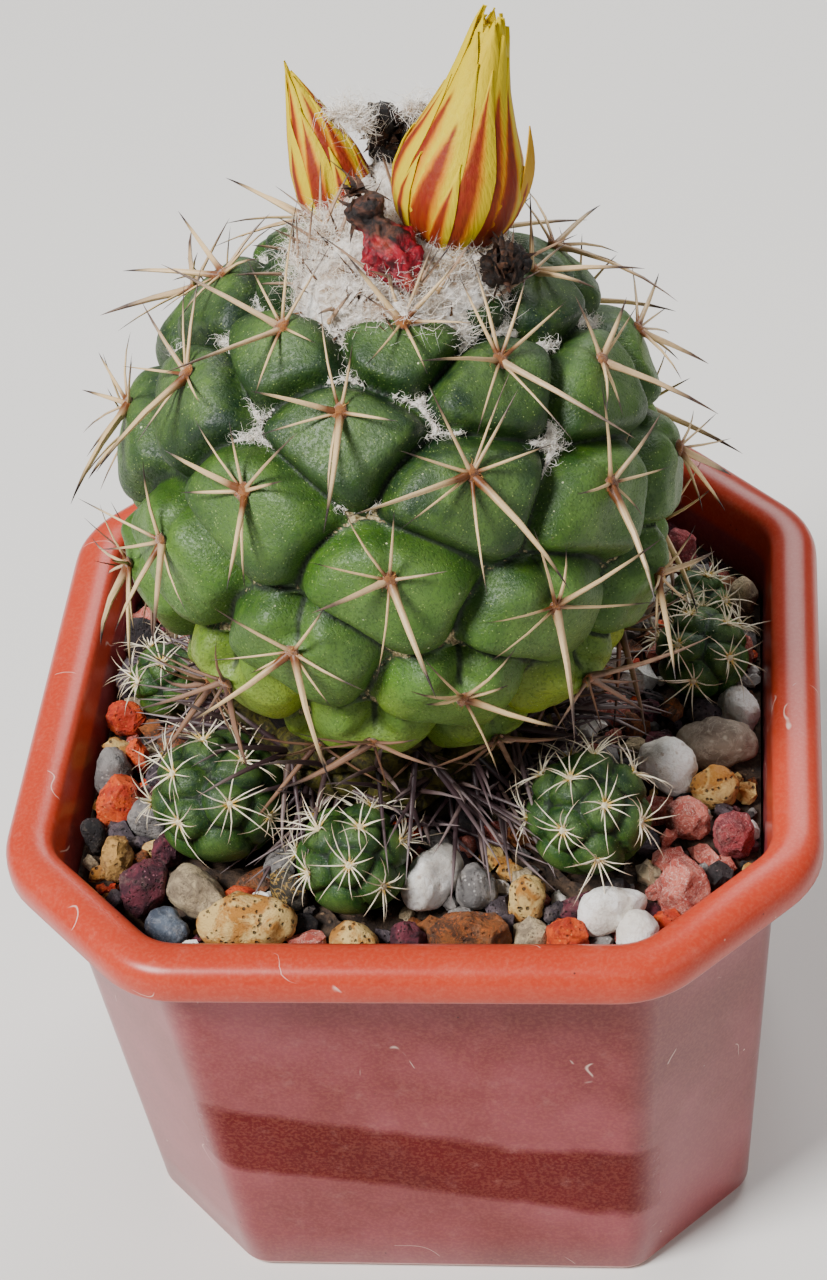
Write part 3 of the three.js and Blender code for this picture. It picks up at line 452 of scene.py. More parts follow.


# Plant skin: yellower towards the soil, with painted highlights at the tubercle tips, painted shade on their
# lower flanks, pores, specks, dark crease lines with painted shade in their valleys, cork, scars and felt
def skin(name, top, middle, low, scale=1.0, bottom=0.072, height=0.062):
    s = Shader(name)
    level = (s.part("Z") - bottom) * (1 / height) + s.sway(0.4, 9 * scale, 3, 0.5)
    level = level + (s.given("cell") - 0.5) * 0.26
    s.colour = s.ramp(level, (0.02, low), (0.4, middle), (0.9, top))
    s.lay(s.patch(0.38, 0.7, 2.6 * scale, 5, 0.65, 0.4) * 0.28, (96, 130, 34))
    # Painted shade on the lower flank of each tubercle, below its tip
    s.lay(s.given("low") * 0.55, (18, 46, 6))
    # Painted highlight round each tubercle's tip
    s.lay(s.step(s.given("tip") + s.sway(0.5, 5, 3, 0.5, 0.7), 0.5, 1.05) * 0.2, (140, 176, 96))
    pores = s.patch(0.46, 0.68, 0.34 * scale, 3, 0.6, 4.1)
    s.lay(pores * 0.42, (22, 50, 6))
    specks = s.dots(0.42 * scale, 0.1, 0.24) * s.patch(0.44, 0.6, 0.9 * scale, 3, 0.6, 0.8)
    s.lay(specks * 0.5, (178, 200, 110))
    flecks = s.dots(2.3 * scale, 0.035, 0.07) * s.patch(0.45, 0.6, 4, 2, 0.5, 2.4)
    s.lay(flecks * 0.8, (222, 228, 180))
    # Dark crease lines; on the globe the crease mark also carries painted shade in the valleys
    crease = s.given("crease") + s.sway(0.25, 1.1, 3, 0.6, 1.2)
    s.lay(s.step(crease, 0.15, 0.8) * 0.85, (8, 20, 5))
    bark = s.mix(s.patch(0.4, 0.6, 0.5, 5, 0.7, 1.1), (196, 178, 134), (92, 74, 40))
    s.lay(s.step(s.given("cork") + s.sway(1.3, 0.8, 5, 0.75, 1.9), 0.5, 0.75) * 0.9, bark)
    s.lay(s.patch(0.69, 0.75, 4.6, 6, 0.75, 2.1) * 0.35, (150, 124, 56))
    felt = s.step(s.given("wool") + s.sway(0.5, 0.7, 4, 0.7, 0.2), 0.38, 0.55)
    s.lay(felt, s.mix(s.cloud(0.5, 5, 0.7), (240, 234, 226), (188, 176, 160)))
    relief = s.cloud(0.45, 4, 0.6, 1.7) * 0.5 + s.cloud(2.4, 3, 0.5, 2.7) * 0.6 + specks * 0.15 - pores * 0.2
    relief = relief + felt * s.cloud(0.35, 5, 0.8) * 1.4
    rough = 0.36 + s.cloud(2, 3, 0.6, 3.1) * 0.18 + pores * 0.14 + felt * 0.4
    rough = rough + s.step(crease, 0.4, 0.9) * 0.25
    return s.finish(Roughness=rough, Normal=s.bump(relief, 0.3, 0.6), IOR=1.42, Subsurface_Weight=0.06,
                    Subsurface_Radius=(0.5, 1.0, 0.15), Subsurface_Scale=0.0012)


def spine_horn(name, base, middle, tip, worn):
    s = Shader(name)
    base, middle, tip = [painted(colour) for colour in (base, middle, tip)]
    low = [lerp(a, b, 0.75) for a, b in zip(base, middle)]
    high = [lerp(a, b, 0.12) for a, b in zip(middle, tip)]
    tint = s.given("tint")
    along = s.given("along") + (tint - 0.5) * 0.24
    s.colour = s.ramp(along, (0.0, base), (0.12, low), (0.3, middle), (0.58, high), (0.8, tip))
    grey = s.mix(s.patch(0.4, 0.7, 1.4, 4, 0.6), (158, 128, 104), (92, 70, 60))
    s.lay(s.step(tint + s.sway(0.5, 5, 2, 0.5), 0.5, 1.0) * worn, grey)
    grain = s.cloud(0.3, 4, 0.6)
    s.lay(grain * 0.3, (120, 84, 56), "MULTIPLY")
    return s.finish(Roughness=0.38 + grain * 0.2, Normal=s.bump(grain, 0.08, 0.5), IOR=1.5)


def wool(name, light, dark, stain_and_shade):
    s = Shader(name)
    tufts = s.cloud(1.3, 6, 0.7, warp=0.6)
    # Darker where the tufts sink: painted shade between the tufts
    s.colour = s.mix(s.step(tufts, 0.3, 0.62), dark, light)
    # Brown patches, partly stains and partly painted shade of hollows
    s.lay(s.patch(0.45, 0.64, 4, 5, 0.7, 0.7) * stain_and_shade, (138, 104, 66))
    relief = tufts * 0.8 + s.cloud(0.24, 5, 0.7, warp=0.4) * 0.35
    return s.finish(Roughness=0.95, Normal=s.bump(relief, 0.7, 0.9), Sheen_Weight=0.35, Sheen_Roughness=0.5)


def fibre(name, light, dark):
    s = Shader(name)
    s.colour = s.mix(s.step(s.given("tint"), 0.2, 0.9), dark, light)
    s.lay(s.cloud(2, 3, 0.5) * 0.35, dark)
    return s.finish(Roughness=0.8)


# Petals: a red stripe with an orange edge tapers up the middle of each, as far as its stripe mark says.
def petal_skin(name, light, deep, stripe):
    s = Shader(name)
    side = s.node("Math", {"operation": "ABSOLUTE"}, {0: s.given("across")})
    left = 1 - s.given("along") * s.given("stripe")
    s.colour = s.mix(s.cloud(3, 4, 0.6, place=s.stretched(4)) * 0.7, light, deep)
    band = side - left * 0.5 - 0.12 + s.sway(0.2, 1.0, 4, 0.6, 0.6, place=s.stretched(3))
    orange = (1 - s.step(band, -0.05, 0.3)) * s.step(left, 0.0, 0.3)
    s.lay(orange * 0.75, (190, 72, 0))
    red = (1 - s.step(band, -0.16, 0.06)) * s.step(left, 0.0, 0.1)
    s.lay(red * 0.97, s.mix(s.cloud(1.6, 3, 0.6, 1.4), stripe, (140, 0, 12)))
    veins = s.cloud(0.4, 2, 0.5, place=s.stretched(9))
    s.lay(veins * 0.2, (180, 120, 0))
    rib = (1 - s.step(side, 0.02, 0.14)) * (1 - s.step(left, 0.5, 0.0))
    s.lay(rib * 0.3, (110, 0, 10))
    return s.finish(Roughness=0.56 + veins * 0.15, Normal=s.bump(veins, 0.2, 0.7), IOR=1.32)


def withered(name, light, dark, rough=0.6):
    s = Shader(name)
    folds = s.cloud(1.5, 6, 0.65, warp=1.2)
    s.colour = s.mix(s.step(folds, 0.35, 0.68), dark, light)
    s.lay(s.patch(0.62, 0.72, 0.5, 3, 0.6, 0.5) * 0.25, (150, 112, 76))
    return s.finish(Roughness=rough, Normal=s.bump(folds, 0.6, 0.8), IOR=1.34)


def fruit_flesh():
    s = Shader("fruit_flesh")
    folds = s.cloud(1.6, 6, 0.65, warp=1.0)
    s.colour = s.mix(s.step(folds, 0.36, 0.62), (74, 0, 14), (158, 8, 34))
    s.lay(s.patch(0.5, 0.7, 4, 3, 0.5, 0.9) * 0.4, (204, 84, 40))
    top = s.step(s.part("Z") + s.sway(0.002, 2, 4, 0.6), 0.1406, 0.1418)
    s.lay(top, s.mix(s.step(folds, 0.4, 0.7), (18, 8, 6), (90, 50, 32)))
    return s.finish(Roughness=0.38 + top * 0.4, Normal=s.bump(folds, 0.6, 0.8))


def stone(name, main, second, fleck, grain, pits=0.0, veins=0.0, rough=0.72):
    s = Shader("stone_" + name)
    patches = s.cloud(3.4 * grain, 6, 0.62, warp=0.5)
    s.colour = s.mix(s.step(patches, 0.42, 0.58), main, second)
    s.lay(s.dots(0.8 * grain, 0.12, 0.3) * s.patch(0.46, 0.6, 1.3, 3, 0.5, 0.4) * 0.8, fleck)
    s.lay(s.thread(s.cloud(2.2 * grain, 4, 0.6, 1.3, 2.0) - 0.5, 0.035) * veins, fleck)
    dust = s.patch(0.5, 0.75, 1.9, 5, 0.7, 2.2)
    s.lay(dust * 0.22, (188, 170, 150))
    # Pits painted near black: painted shade in the hollows
    holes = (1 - s.step(s.cells(0.9 * grain) + s.cloud(0.7, 3, 0.6) * 0.3, 0.3, 0.5)) * pits
    holes = holes * s.patch(0.4, 0.52, 2.2, 3, 0.6, 3.1)
    s.lay(holes * 0.8, (30, 20, 18))
    relief = s.cloud(0.5 * grain, 6, 0.75, 0.8) * 0.8 + patches * 0.5 - holes
    shine = rough + s.cloud(1.1, 3, 0.6, 1.8) * 0.2 + dust * 0.08
    return s.finish(Roughness=shine, Normal=s.bump(relief, 0.6, 1.0))


def earth():
    s = Shader("potting_mix")
    crumbs = s.cloud(1.6, 8, 0.7)
    s.colour = s.mix(s.step(crumbs, 0.35, 0.66), (44, 33, 26), (92, 70, 52))
    bits = s.dots(1.3, 0.12, 0.3)
    s.lay(bits * s.patch(0.48, 0.6, 3, 3, 0.6, 0.9), (150, 118, 88))
    return s.finish(Roughness=0.95, Normal=s.bump(crumbs + bits * 0.4, 1.1, 1.0))


# Pot: a square with cut and rounded corners at each height
def outline(half, cut, rounding, z):
    corners = []
    for x, y in ((1, -1), (1, 1), (-1, 1), (-1, -1)):
        pair = [Vector((x * (half - cut), y * half)), Vector((x * half, y * (half - cut)))]
        corners += pair if x * y < 0 else pair[::-1]
    reach = rounding * tan(radians(22.5))
    points = []
    for index, corner in enumerate(corners):
        before = corner + (corners[index - 1] - corner).normalized() * reach
        after = corner + (corners[(index + 1) % 8] - corner).normalized() * reach
        for k in range(CORNER_STEPS + 1):
            t = k / CORNER_STEPS
            point = before * (1 - t) ** 2 + corner * 2 * t * (1 - t) + after * t * t
            points.append((point.x, point.y, z))
    return points


CUT_PER_INSET = 2 - sqrt(2)

# Rings of the pot as insets and heights, or heights alone: from inside its foot ring up the wall, down
# under its lip, round and over it, and down inside
FOOT_RINGS = ((FOOT_WIDTH + 0.6, FOOT_RECESS), (FOOT_WIDTH + 0.2, 0.3), (FOOT_WIDTH, 0), (1.3, 0),
              (0.7, 0.12), (0.2, 0.6), (0, FOOT_RECESS))
WALL_HEIGHTS = (8, 20, 34, 50, 62, 66, 68)
LIP_RINGS = ((2.2, 68.4), (1.8, 68), (1.75, 65.7), (1.5, 65.4), (0.6, 65.4), (0.2, 65.55), (0, 66), (0, 67.4),
             (0.08, 68.3), (0.4, 69.1), (0.95, 69.75), (1.8, 70.2), (2.9, POT_HEIGHT), (4.2, 70.35),
             (5.1, 70.1), (5.75, 69.7), (6.1, 69.1), (LIP_WIDTH, 68.2))
INNER_HEIGHTS = (64.4, 40, FLOOR)


def lip_ring(inset, z):
    return outline(RIM_HALF - inset, RIM_CUT - CUT_PER_INSET * inset, max(RIM_ROUND - inset, 2), z)


def wall_ring(inset, z):
    up = z / (POT_HEIGHT - LIP_DROP)
    top_half = RIM_HALF - LIP_WIDTH + WALL / 2
    top_cut = RIM_CUT - CUT_PER_INSET * (RIM_HALF - top_half)
    half = lerp(BASE_HALF, top_half, up) - inset
    cut = lerp(BASE_CUT, top_cut, up) - CUT_PER_INSET * inset
    rounding = lerp(BASE_ROUND, RIM_ROUND - LIP_WIDTH, up)
    return outline(half, max(cut, rounding), rounding, z)


def make_pot():
    rings = [wall_ring(*at) for at in FOOT_RINGS] + [wall_ring(0, z) for z in WALL_HEIGHTS]
    rings += [lip_ring(*at) for at in LIP_RINGS] + [wall_ring(WALL, z) for z in INNER_HEIGHTS]
    pot = lofted("pot_moulding", rings)
    for x, y in ((1, 1), (1, -1), (-1, 1), (-1, -1)):
        start_fresh()
        bpy.ops.mesh.primitive_cylinder_add(
            vertices=32, radius=DRAIN_RADIUS * MM, depth=DRAIN_DEPTH * MM,
            location=Vector((x * DRAIN_SPREAD, y * DRAIN_SPREAD, FLOOR / 2)) * MM)
        cutter = bpy.context.object
        modified(pot, "BOOLEAN", object=cutter, solver="EXACT")
        discard(cutter)
    settled(pot, pot_plastic(), "pot_plastic", "pot", angle=40)


# Tubercles
class Tubercle:
    """Which way a tubercle points, the up and right of its own surface, and its size."""

    def __init__(self, n, out, axis, size=1):
        self.n = n
        self.out = out
        self.up = (axis - out * axis.dot(out)).normalized()
        self.right = self.up.cross(out)
        self.size = size
        self.axes = (self.right, self.up, self.out)

    # A direction at a clock angle round the tubercle and at a lift above its surface, both in degrees
    def way(self, clock, lift):
        flat = self.up * cos(radians(clock)) + self.right * sin(radians(clock))
        return flat * cos(radians(lift)) + self.out * sin(radians(lift))


def tip_radius(polar):
    return 1 / hypot(sin(polar) / GLOBE_R, cos(polar) / GLOBE_RZ)


def tip_of(t, above):
    return GLOBE + t.out * (tip_radius(t.out.angle(LEAN)) + above)


def main_tubercles():
    made = []
    for n in range(TUBERCLE_RANGE[0], TUBERCLE_RANGE[1] + 1):
        polar = radians(POLAR_START + POLAR_STEP * n - POLAR_EASE * n * n)
        out = towards(polar, radians(TURN_START + TURN * n))
        made.append(Tubercle(n, out, LEAN, sqrt(max(sin(polar), 0.12))))
    return made


TUBERCLES = main_tubercles()
SPINY = [t for t in TUBERCLES if t.n >= 0]


# The tubercles in a direction, nearest first: how far off each one's tip is, and the place on it. The gap
# with them is nought on the creases round the nearest one.
def nearest(direction, tubercles, dome, radius):
    found = []
    for t in tubercles:
        if direction.dot(t.out) < 0.3:
            continue
        u = radius * direction.dot(t.right) / t.size
        v = radius * direction.dot(t.up) / t.size
        found.append(((u / dome[0]) ** 2 + (v / dome[1 if v > 0 else 2]) ** 2, u, v, t))
    found.sort(key=lambda item: item[0])
    while len(found) < 3:
        found.append((found[-1][0] + 4 if found else 2, 0, -9, tubercles[-1]))
    gap = -log(sum(exp(ROUNDING * (found[0][0] - other[0])) for other in found[1:6])) / ROUNDING
    return found, max(gap, 0)


# The shape of a crease: 1 at its middle, 0 from its width on, and round at the bottom
def valley(across, width):
    return max(1 - (sqrt(across * across + 0.0036) - 0.06) / width, 0) ** 2.2


# How far the skin lies below a tubercle's tip. Below the tip it bulges and then drops, above it slopes away,
# and both sides of a crease meet.
def sunk(e, gap, v, slope, fold):
    above = smooth(-0.5, 0.5, v)
    own = lerp(1, lerp(0.5, 1.5, above), smooth(0.02, 0.3, gap))
    return slope * min(e, 1.2) * own + fold * valley(gap, lerp(0.62, 1.0, above))


wool_spots = []


def make_body():
    marks = {name: [] for name in ("crease", "tip", "wool", "cork", "cell", "low")}

    def radius_at(direction):
        tip = tip_radius(direction.angle(LEAN))
        found, gap = nearest(direction, TUBERCLES, DOME, tip)
        e, u, v, t = found[0]

        # The groove above an older tubercle's tip, and the lobes that it parts
        aged = smooth(19, 33, t.n)
        oldest = smooth(30, 40, t.n)
        across = abs(u - (chance(t.n * 1.3) - 0.5) * 0.3 * v) / 11
        groove = lerp(lerp(0.35, 2.5, aged), 3.4, oldest) * valley(across, lerp(0.12, 0.42, aged))
        groove *= smooth(-0.6, 1.2, v) * (1 - valley(gap, 0.16))
        lobes = lerp(0.8, 1.5, oldest) * aged * exp(-((abs(u) - 4) / 3) ** 2 - ((v - 4) / 3) ** 2)
        lump = 0.5 * noise.noise(direction * 6) + 0.14 * noise.noise(direction * 15)
        radius = tip - sunk(e, gap, v / 8, SLOPE, FOLD) - groove + lobes + lump

        # Wool fills the newer corners between tubercles, and the older ones turn to cork.
        seam_off = found[1][0] - e
        taper = 1 - (found[2][0] - e) / 0.95 + 0.8 * noise.noise(direction * 10)
        newest = max(item[3].n for item in found[:3])
        woody = smooth(17, 21, newest)
        wool_here = smooth(-0.06, 0.08, 0.17 * taper - seam_off) * (1 - woody)
        cork = smooth(-0.05, 0.06, 0.13 * taper - seam_off) * woody * (0.3 + 0.7 * chance(newest * 3.9))
        radius = lerp(radius, max(radius, tip - WOOL_DEPTH + 0.4 * noise.noise(direction * 50)), wool_here)
        if wool_here > 0.6:
            wool_spots.append((GLOBE + direction * radius, direction))

        line = exp(-(seam_off / 0.08) ** 2)
        seam = exp(-(across / 0.045) ** 2) * smooth(-0.2, 0.8, v) * lerp(0.3, 0.95, aged)
        # Crease mark: the seam line, the groove line, and painted shade in the valley round each tubercle
        crease = max(line, seam, 0.4 * valley(gap, 0.4))
        # Marks: a painted highlight by the tip, and painted shade on the lower flank below it
        values = (crease, 1 - e, wool_here, cork, chance(t.n * 5.7), smooth(0.1, 0.9, -v / 14))
        for name, value in zip(marks, values):
            marks[name].append(value)
        return radius

    body = balled("cactus_body", GLOBE, BODY_CUTS, radius_at)
    mark(body, **marks)
    settled(body, skin("cactus_skin", (13, 38, 18), (56, 94, 12), (144, 156, 0)), *ON_GLOBE, angle=180)


# Small models, a unit long or across, of which many are strewn
def ring_of(sides, radius, z):
    return [(radius * cos(angle) / MM, radius * sin(angle) / MM, z / MM) for angle in angles(sides)]


def lump_model(roughness):
    start_fresh()
    bpy.ops.mesh.primitive_ico_sphere_add(subdivisions=2, radius=1)
    model = bpy.context.object
    for vert in model.data.vertices:
        vert.co *= 1 + roughness * noise.noise(vert.co * 1.7 + Vector((3, 1, 2)))
    return model


THORN_TAPER = ((-0.05, 1.0), (0.0, 1.3), (0.05, 1.15), (0.12, 0.94), (0.4, 0.76), (0.7, 0.5), (0.9, 0.22),
               (1.0, 0.03))
HAIR_TAPER = ((0.0, 1.0), (0.35, 0.85), (0.7, 0.6), (1.0, 0.15))
THORN = lofted("thorn_model", [ring_of(6, radius, z) for z, radius in THORN_TAPER])
HAIR = lofted("hair_model", [ring_of(3, radius, z) for z, radius in HAIR_TAPER])
LUMP = lump_model(0.25)
CHIP = lump_model(0.0)


# Moves, each of which turns a point of a small model into its place
def thorn_move(foot, direction, out, length, radius, bend, flat=1.0):
    side = direction.cross(out).normalized()
    other = direction.cross(side)

    def move(p):
        middle = foot + direction * (length * p.z) + bend * (p.z * abs(p.z))
        return middle + side * (radius * p.x) + other * (radius * flat * p.y)

    return move


def hair_move(foot, direction, length, radius, curl, draw):
    side = direction.orthogonal().normalized()
    other = direction.cross(side)
    turn = 6.3 * draw

    def move(p):
        swing = curl * p.z
        middle = foot + direction * (length * p.z * (1 - 0.25 * p.z))
        middle += (side * cos(turn + 3 * p.z) + other * sin(turn + 3 * p.z)) * (swing * length * 0.5)
        return middle + side * (radius * p.x) + other * (radius * p.y)

    return move


def lump_move(middle, axes, sizes, seed, rough):
    def move(p):
        lump = 1 + rough * noise.noise(p * 1.9 + Vector((seed, seed * 0.7, seed * 1.3)))
        return middle + sum((axis * (size * lump * c) for axis, size, c in zip(axes, sizes, p)), Vector())

    return move


# The solids by kind, and their faces as what a spine or a stone must keep clear of
PEBBLES, OFFSETS, REMAINS, BUDS = [
    [name for name in frame["nodes"] if name.startswith(kind)]
    for kind in ("pebble_", "offset_", "dried_", "bud_")]


def tree_of(*names):
    verts, faces = [], []
    for name in names:
        data = bpy.data.objects[name].data
        first = len(verts)
        verts += [vert.co / MM for vert in data.vertices]
        faces += [[first + corner for corner in face.vertices] for face in data.polygons]
    return BVHTree.FromPolygons(verts, faces)


# The moves of spines, each raised until nothing is in its way, or given up
def raised(spines, tree):
    moves = []
    for foot, direction, out, length, radius, bend in spines:
        for raise_by in (0, 0.25, 0.5, 0.75):
            way = direction.lerp(out, raise_by).normalized()
            drop = bend * (1 - raise_by)
            middle = foot + way * (length * 0.5) + drop * 0.25
            tip = foot + way * length + drop
            steps = [(start, end - start) for start, end in ((foot + way * 1.6, middle), (middle, tip))]
            if not any(tree.ray_cast(start, s.normalized(), s.length + 0.4)[0] for start, s in steps):
                moves.append(thorn_move(foot, way, out, length, radius, drop))
                break
    return moves


# Spine clusters as the photographed view shows them. Each tubercle has a pair of numbers for every spine: its
# clock angle in the picture, in degrees, and how long it looks, in millimetres. Stout ones come first.
SEEN = {
    0: (46, 9, -40, 10, -147, 6, 23, 11, 90, 8, 154, 6, -21, 7),
    3: (-60, 16, -115, 13, 2, 15, -28, 9, 31, 10, -158, 8, 120, 4),
    5: (120, 16, -90, 7, 48, 11, -28, 10, 198, 9, 137, 11, -12, 12, 16, 10),
    7: (104, 15, 39, 10, -26, 8, -6, 10, 70, 9),
    8: (183, 14, -76, 10, -16, 12, -104, 9, 100, 6, 13, 7, 194, 9),
    10: (108, 15, 25, 8, 34, 8, -20, 7, 156, 6),
    11: (-132, 15, -36, 10, -80, 8, 3, 12, -7, 11, -142, 9, 158, 4),
    13: (134, 17, -114, 12, 30, 10, 176, 13, 70, 9, -130, 9, -28, 10, 18, 11, -75, 8),
    15: (111, 10, 26, 9, 48, 7, 3, 9, 75, 8),
    16: (188, 11, -66, 10, -39, 10, -91, 7, -13, 7, 79, 4),
    18: (152, 14, 42, 10, -3, 10, 76, 8, 126, 5, -120, 4),
    19: (-147, 13, -70, 7, -35, 10, -15, 9, -100, 8),
    21: (160, 14, -117, 9, -80, 9, 182, 11, -42, 9, 83, 6, 5, 7),
    23: (109, 9, 137, 9, 50, 8, 36, 6, 80, 8),
    24: (183, 12, -146, 12, -64, 12, -20, 9, -100, 8),
    26: (166, 15, 62, 13, -136, 10, 92, 11, -110, 8, -17, 7, 21, 6),
    29: (170, 15, -130, 14, -98, 10, -64, 9, 149, 7, -119, 6),
    31: (170, 13, 75, 9, 130, 7, 46, 8, 11, 4),
    32: (-142, 12, 181, 13, -74, 8, -35, 7, -100, 7),
    34: (112, 13, -115, 11, 150, 11, -95, 6, -50, 6, 82, 5),
    37: (173, 12, -112, 12, -74, 9, -147, 8, -31, 6),
    39: (79, 15, 118, 10, 160, 9, 100, 9),
    42: (-127, 12, 118, 8, 163, 9, -100, 7),
    47: (100, 9, 150, 10, -140, 9, 60, 6),
}
RULED_CLOCKS = (180, -110, 105, -40, 35, -3, 145, -150)

# Where that view is taken from: how far round the pot, how far above its rim, and how far rolled
VIEW_ROUND = radians(9.3)
VIEW_ABOVE = radians(42.3)
VIEW_ROLL = radians(-6.9)
view_back = Matrix.Rotation(VIEW_ROUND, 3, UP) @ Vector((0, -cos(VIEW_ABOVE), sin(VIEW_ABOVE)))
view_right = Matrix.Rotation(VIEW_ROLL, 3, view_back) @ UP.cross(view_back).normalized()
view_up = view_back.cross(view_right)


# A direction that the picture shows at a clock angle and that stands at a lift above the surface
def seen_direction(out, clock, lift):
    flat = view_up * cos(radians(clock)) + view_right * sin(radians(clock))
    along = flat.dot(out)
    facing = view_back.dot(out)
    share = min(max(sin(radians(lift)) / hypot(along, facing), -1), 1)
    swings = [atan2(facing, along) + sign * acos(share) for sign in (1, -1)]
    swing = swings[0] if cos(swings[0]) > cos(swings[1]) else swings[1]
    return flat * cos(swing) + view_back * sin(swing), max(cos(swing), LEAST_SHOWN)


def cluster_of(t):
    pairs = SEEN.get(t.n, ())
    shown = list(zip(pairs[::2], pairs[1::2]))
    wanted = 5 + int(4 * chance(t.n * 3.3))
    spare = [c for c in RULED_CLOCKS if all(abs((c - s[0] + 180) % 360 - 180) > 32 for s in shown)]
    spines = []
    for k in range(max(wanted, len(shown))):
        kind = STOUT if k < STOUT_COUNT else SLIM
        lift = kind["lift"] + 10 * (chance(t.n * 5 + k) - 0.5)
        if k < len(shown):
            direction, share = seen_direction(t.out, shown[k][0], lift)
            length = min(shown[k][1] / share, LONGEST_SPINE)
        elif spare:
            clock = spare.pop(0) + 24 * (chance(t.n * 7 + k) - 0.5)
            direction = t.way(clock, lift)
            length = kind["length"] * (0.8 + 0.4 * chance(t.n * 11 + k))
        else:
            break
        sideways = (direction - t.out * direction.dot(t.out)).normalized()
        foot = tip_of(t, 0.15) + sideways * (PAD_RADIUS * (0.35 + 0.3 * chance(k + t.n)))
        bend = t.out * (-length * kind["droop"] * (0.4 + 1.3 * chance(t.n * 4.7 + k)))
        bend += t.right * (length * 0.22 * (chance(t.n * 2.3 + k) - 0.5))
        radius = kind["radius"] * (0.7 + 0.4 * chance(t.n * 1.7 + k)) * (0.85 if k == 1 else 1)
        spines.append((foot, direction, t.out, length, radius, bend))
    return spines


def make_spines():
    obstacles = tree_of("pot", "crown_wool", *PEBBLES, *OFFSETS, *REMAINS, *BUDS)
    fresh = [spine for t in SPINY if t.n <= LAST_FRESH for spine in cluster_of(t)]
    aged = [spine for t in SPINY if t.n > LAST_FRESH for spine in cluster_of(t)]
    horn = spine_horn("spine_horn", (112, 64, 26), (222, 190, 138), (38, 21, 15), 0.4)
    strewn("spines_fresh", THORN, raised(fresh, obstacles), horn, *ON_GLOBE)
    greyed = spine_horn("spine_greyed", (76, 46, 32), (138, 102, 78), (48, 33, 30), 0.6)
    strewn("spines_aged", THORN, raised(aged, obstacles), greyed, *ON_GLOBE)


def make_areoles():
    pads, hairs = [], []
    for t in SPINY:
        middle = tip_of(t, 0.1)
        pads.append(lump_move(middle, t.axes, PAD_SIZES, t.n, 0.4))
        for k in range(16 if t.n < 8 else 7):
            angle = 6.3 * chance(t.n * 9 + k)
            side = t.right * cos(angle) + t.up * sin(angle)
            foot = middle + side * (0.9 * sqrt(chance(t.n + k * 3.3))) + t.out * 0.2
            way = (side * 0.8 + t.out * 0.5).normalized()
            length = 0.6 + 0.8 * chance(k + t.n * 7)
            hairs.append(hair_move(foot, way, length, DOWN_RADIUS, 0.9, chance(k * 1.9)))
    strewn("areole_pads", LUMP, pads, wool("areole_felt", (150, 86, 18), (78, 36, 4), 0.3), *ON_GLOBE)
    strewn("areole_hairs", HAIR, hairs, fibre("areole_down", (206, 158, 84), (140, 80, 24)), *ON_GLOBE)


# Hairs of the wool that is caught in the creases between the upper tubercles
def make_axil_wool():
    draw = Random(11)
    hairs = []
    for _ in range(AXIL_HAIRS):
        foot, out = draw.choice(wool_spots)
        way = (wander(draw) + out * 0.35).normalized()
        length = draw.uniform(0.6, 1.8)
        hairs.append(hair_move(foot - out * 0.15, way, length, DOWN_RADIUS, 1.3, draw.random()))
    strewn("axil_wool", HAIR, hairs, fibre("axil_down", (246, 242, 234), (226, 218, 204)), *ON_GLOBE)


# The woolly crown: rings by their angle off the axis and their distance from the middle of the globe
WOOL_RINGS = ((28, 25), (27, 28.5), (25.5, 30.8), (23.5, 32.4), (21, 33.4), (18, 34), (14, 34.3), (10, 34.3),
              (6, 34.2), (2, 34.1))

# Tufts beside the dried flower at the back, and the wool that it stands in: place, sizes, hairs
WOOL_HEAPS = (
    ((-4.6, 16.4, 144.3), (1.5, 0.9, 0.7), 170), ((-3.0, 16.9, 144.1), (1.3, 1.1, 0.8), 170),
    ((-2.2, 15.9, 143.2), (0.9, 0.7, 0.9), 120), ((3.4, 20.2, 142.2), (1.2, 1.0, 0.9), 170),
    ((4.7, 20.9, 140.9), (1.3, 1.1, 1.5), 200), ((4.0, 21.4, 139.2), (1.0, 1.0, 1.5), 140),
    ((0.4, 4.4, 137.6), (0.8, 0.8, 2.6), 240), ((1.2, 17.2, 134.2), (5.2, 4.6, 2.9), 700),
    ((-2.2, 12.2, 135.6), (2.8, 3.0, 1.8), 340),
)


def crown_place(out, top, polar):
    return GLOBE + out * (top - max(polar - CROWN_FLAT, 0) ** 2 * CROWN_FALL)


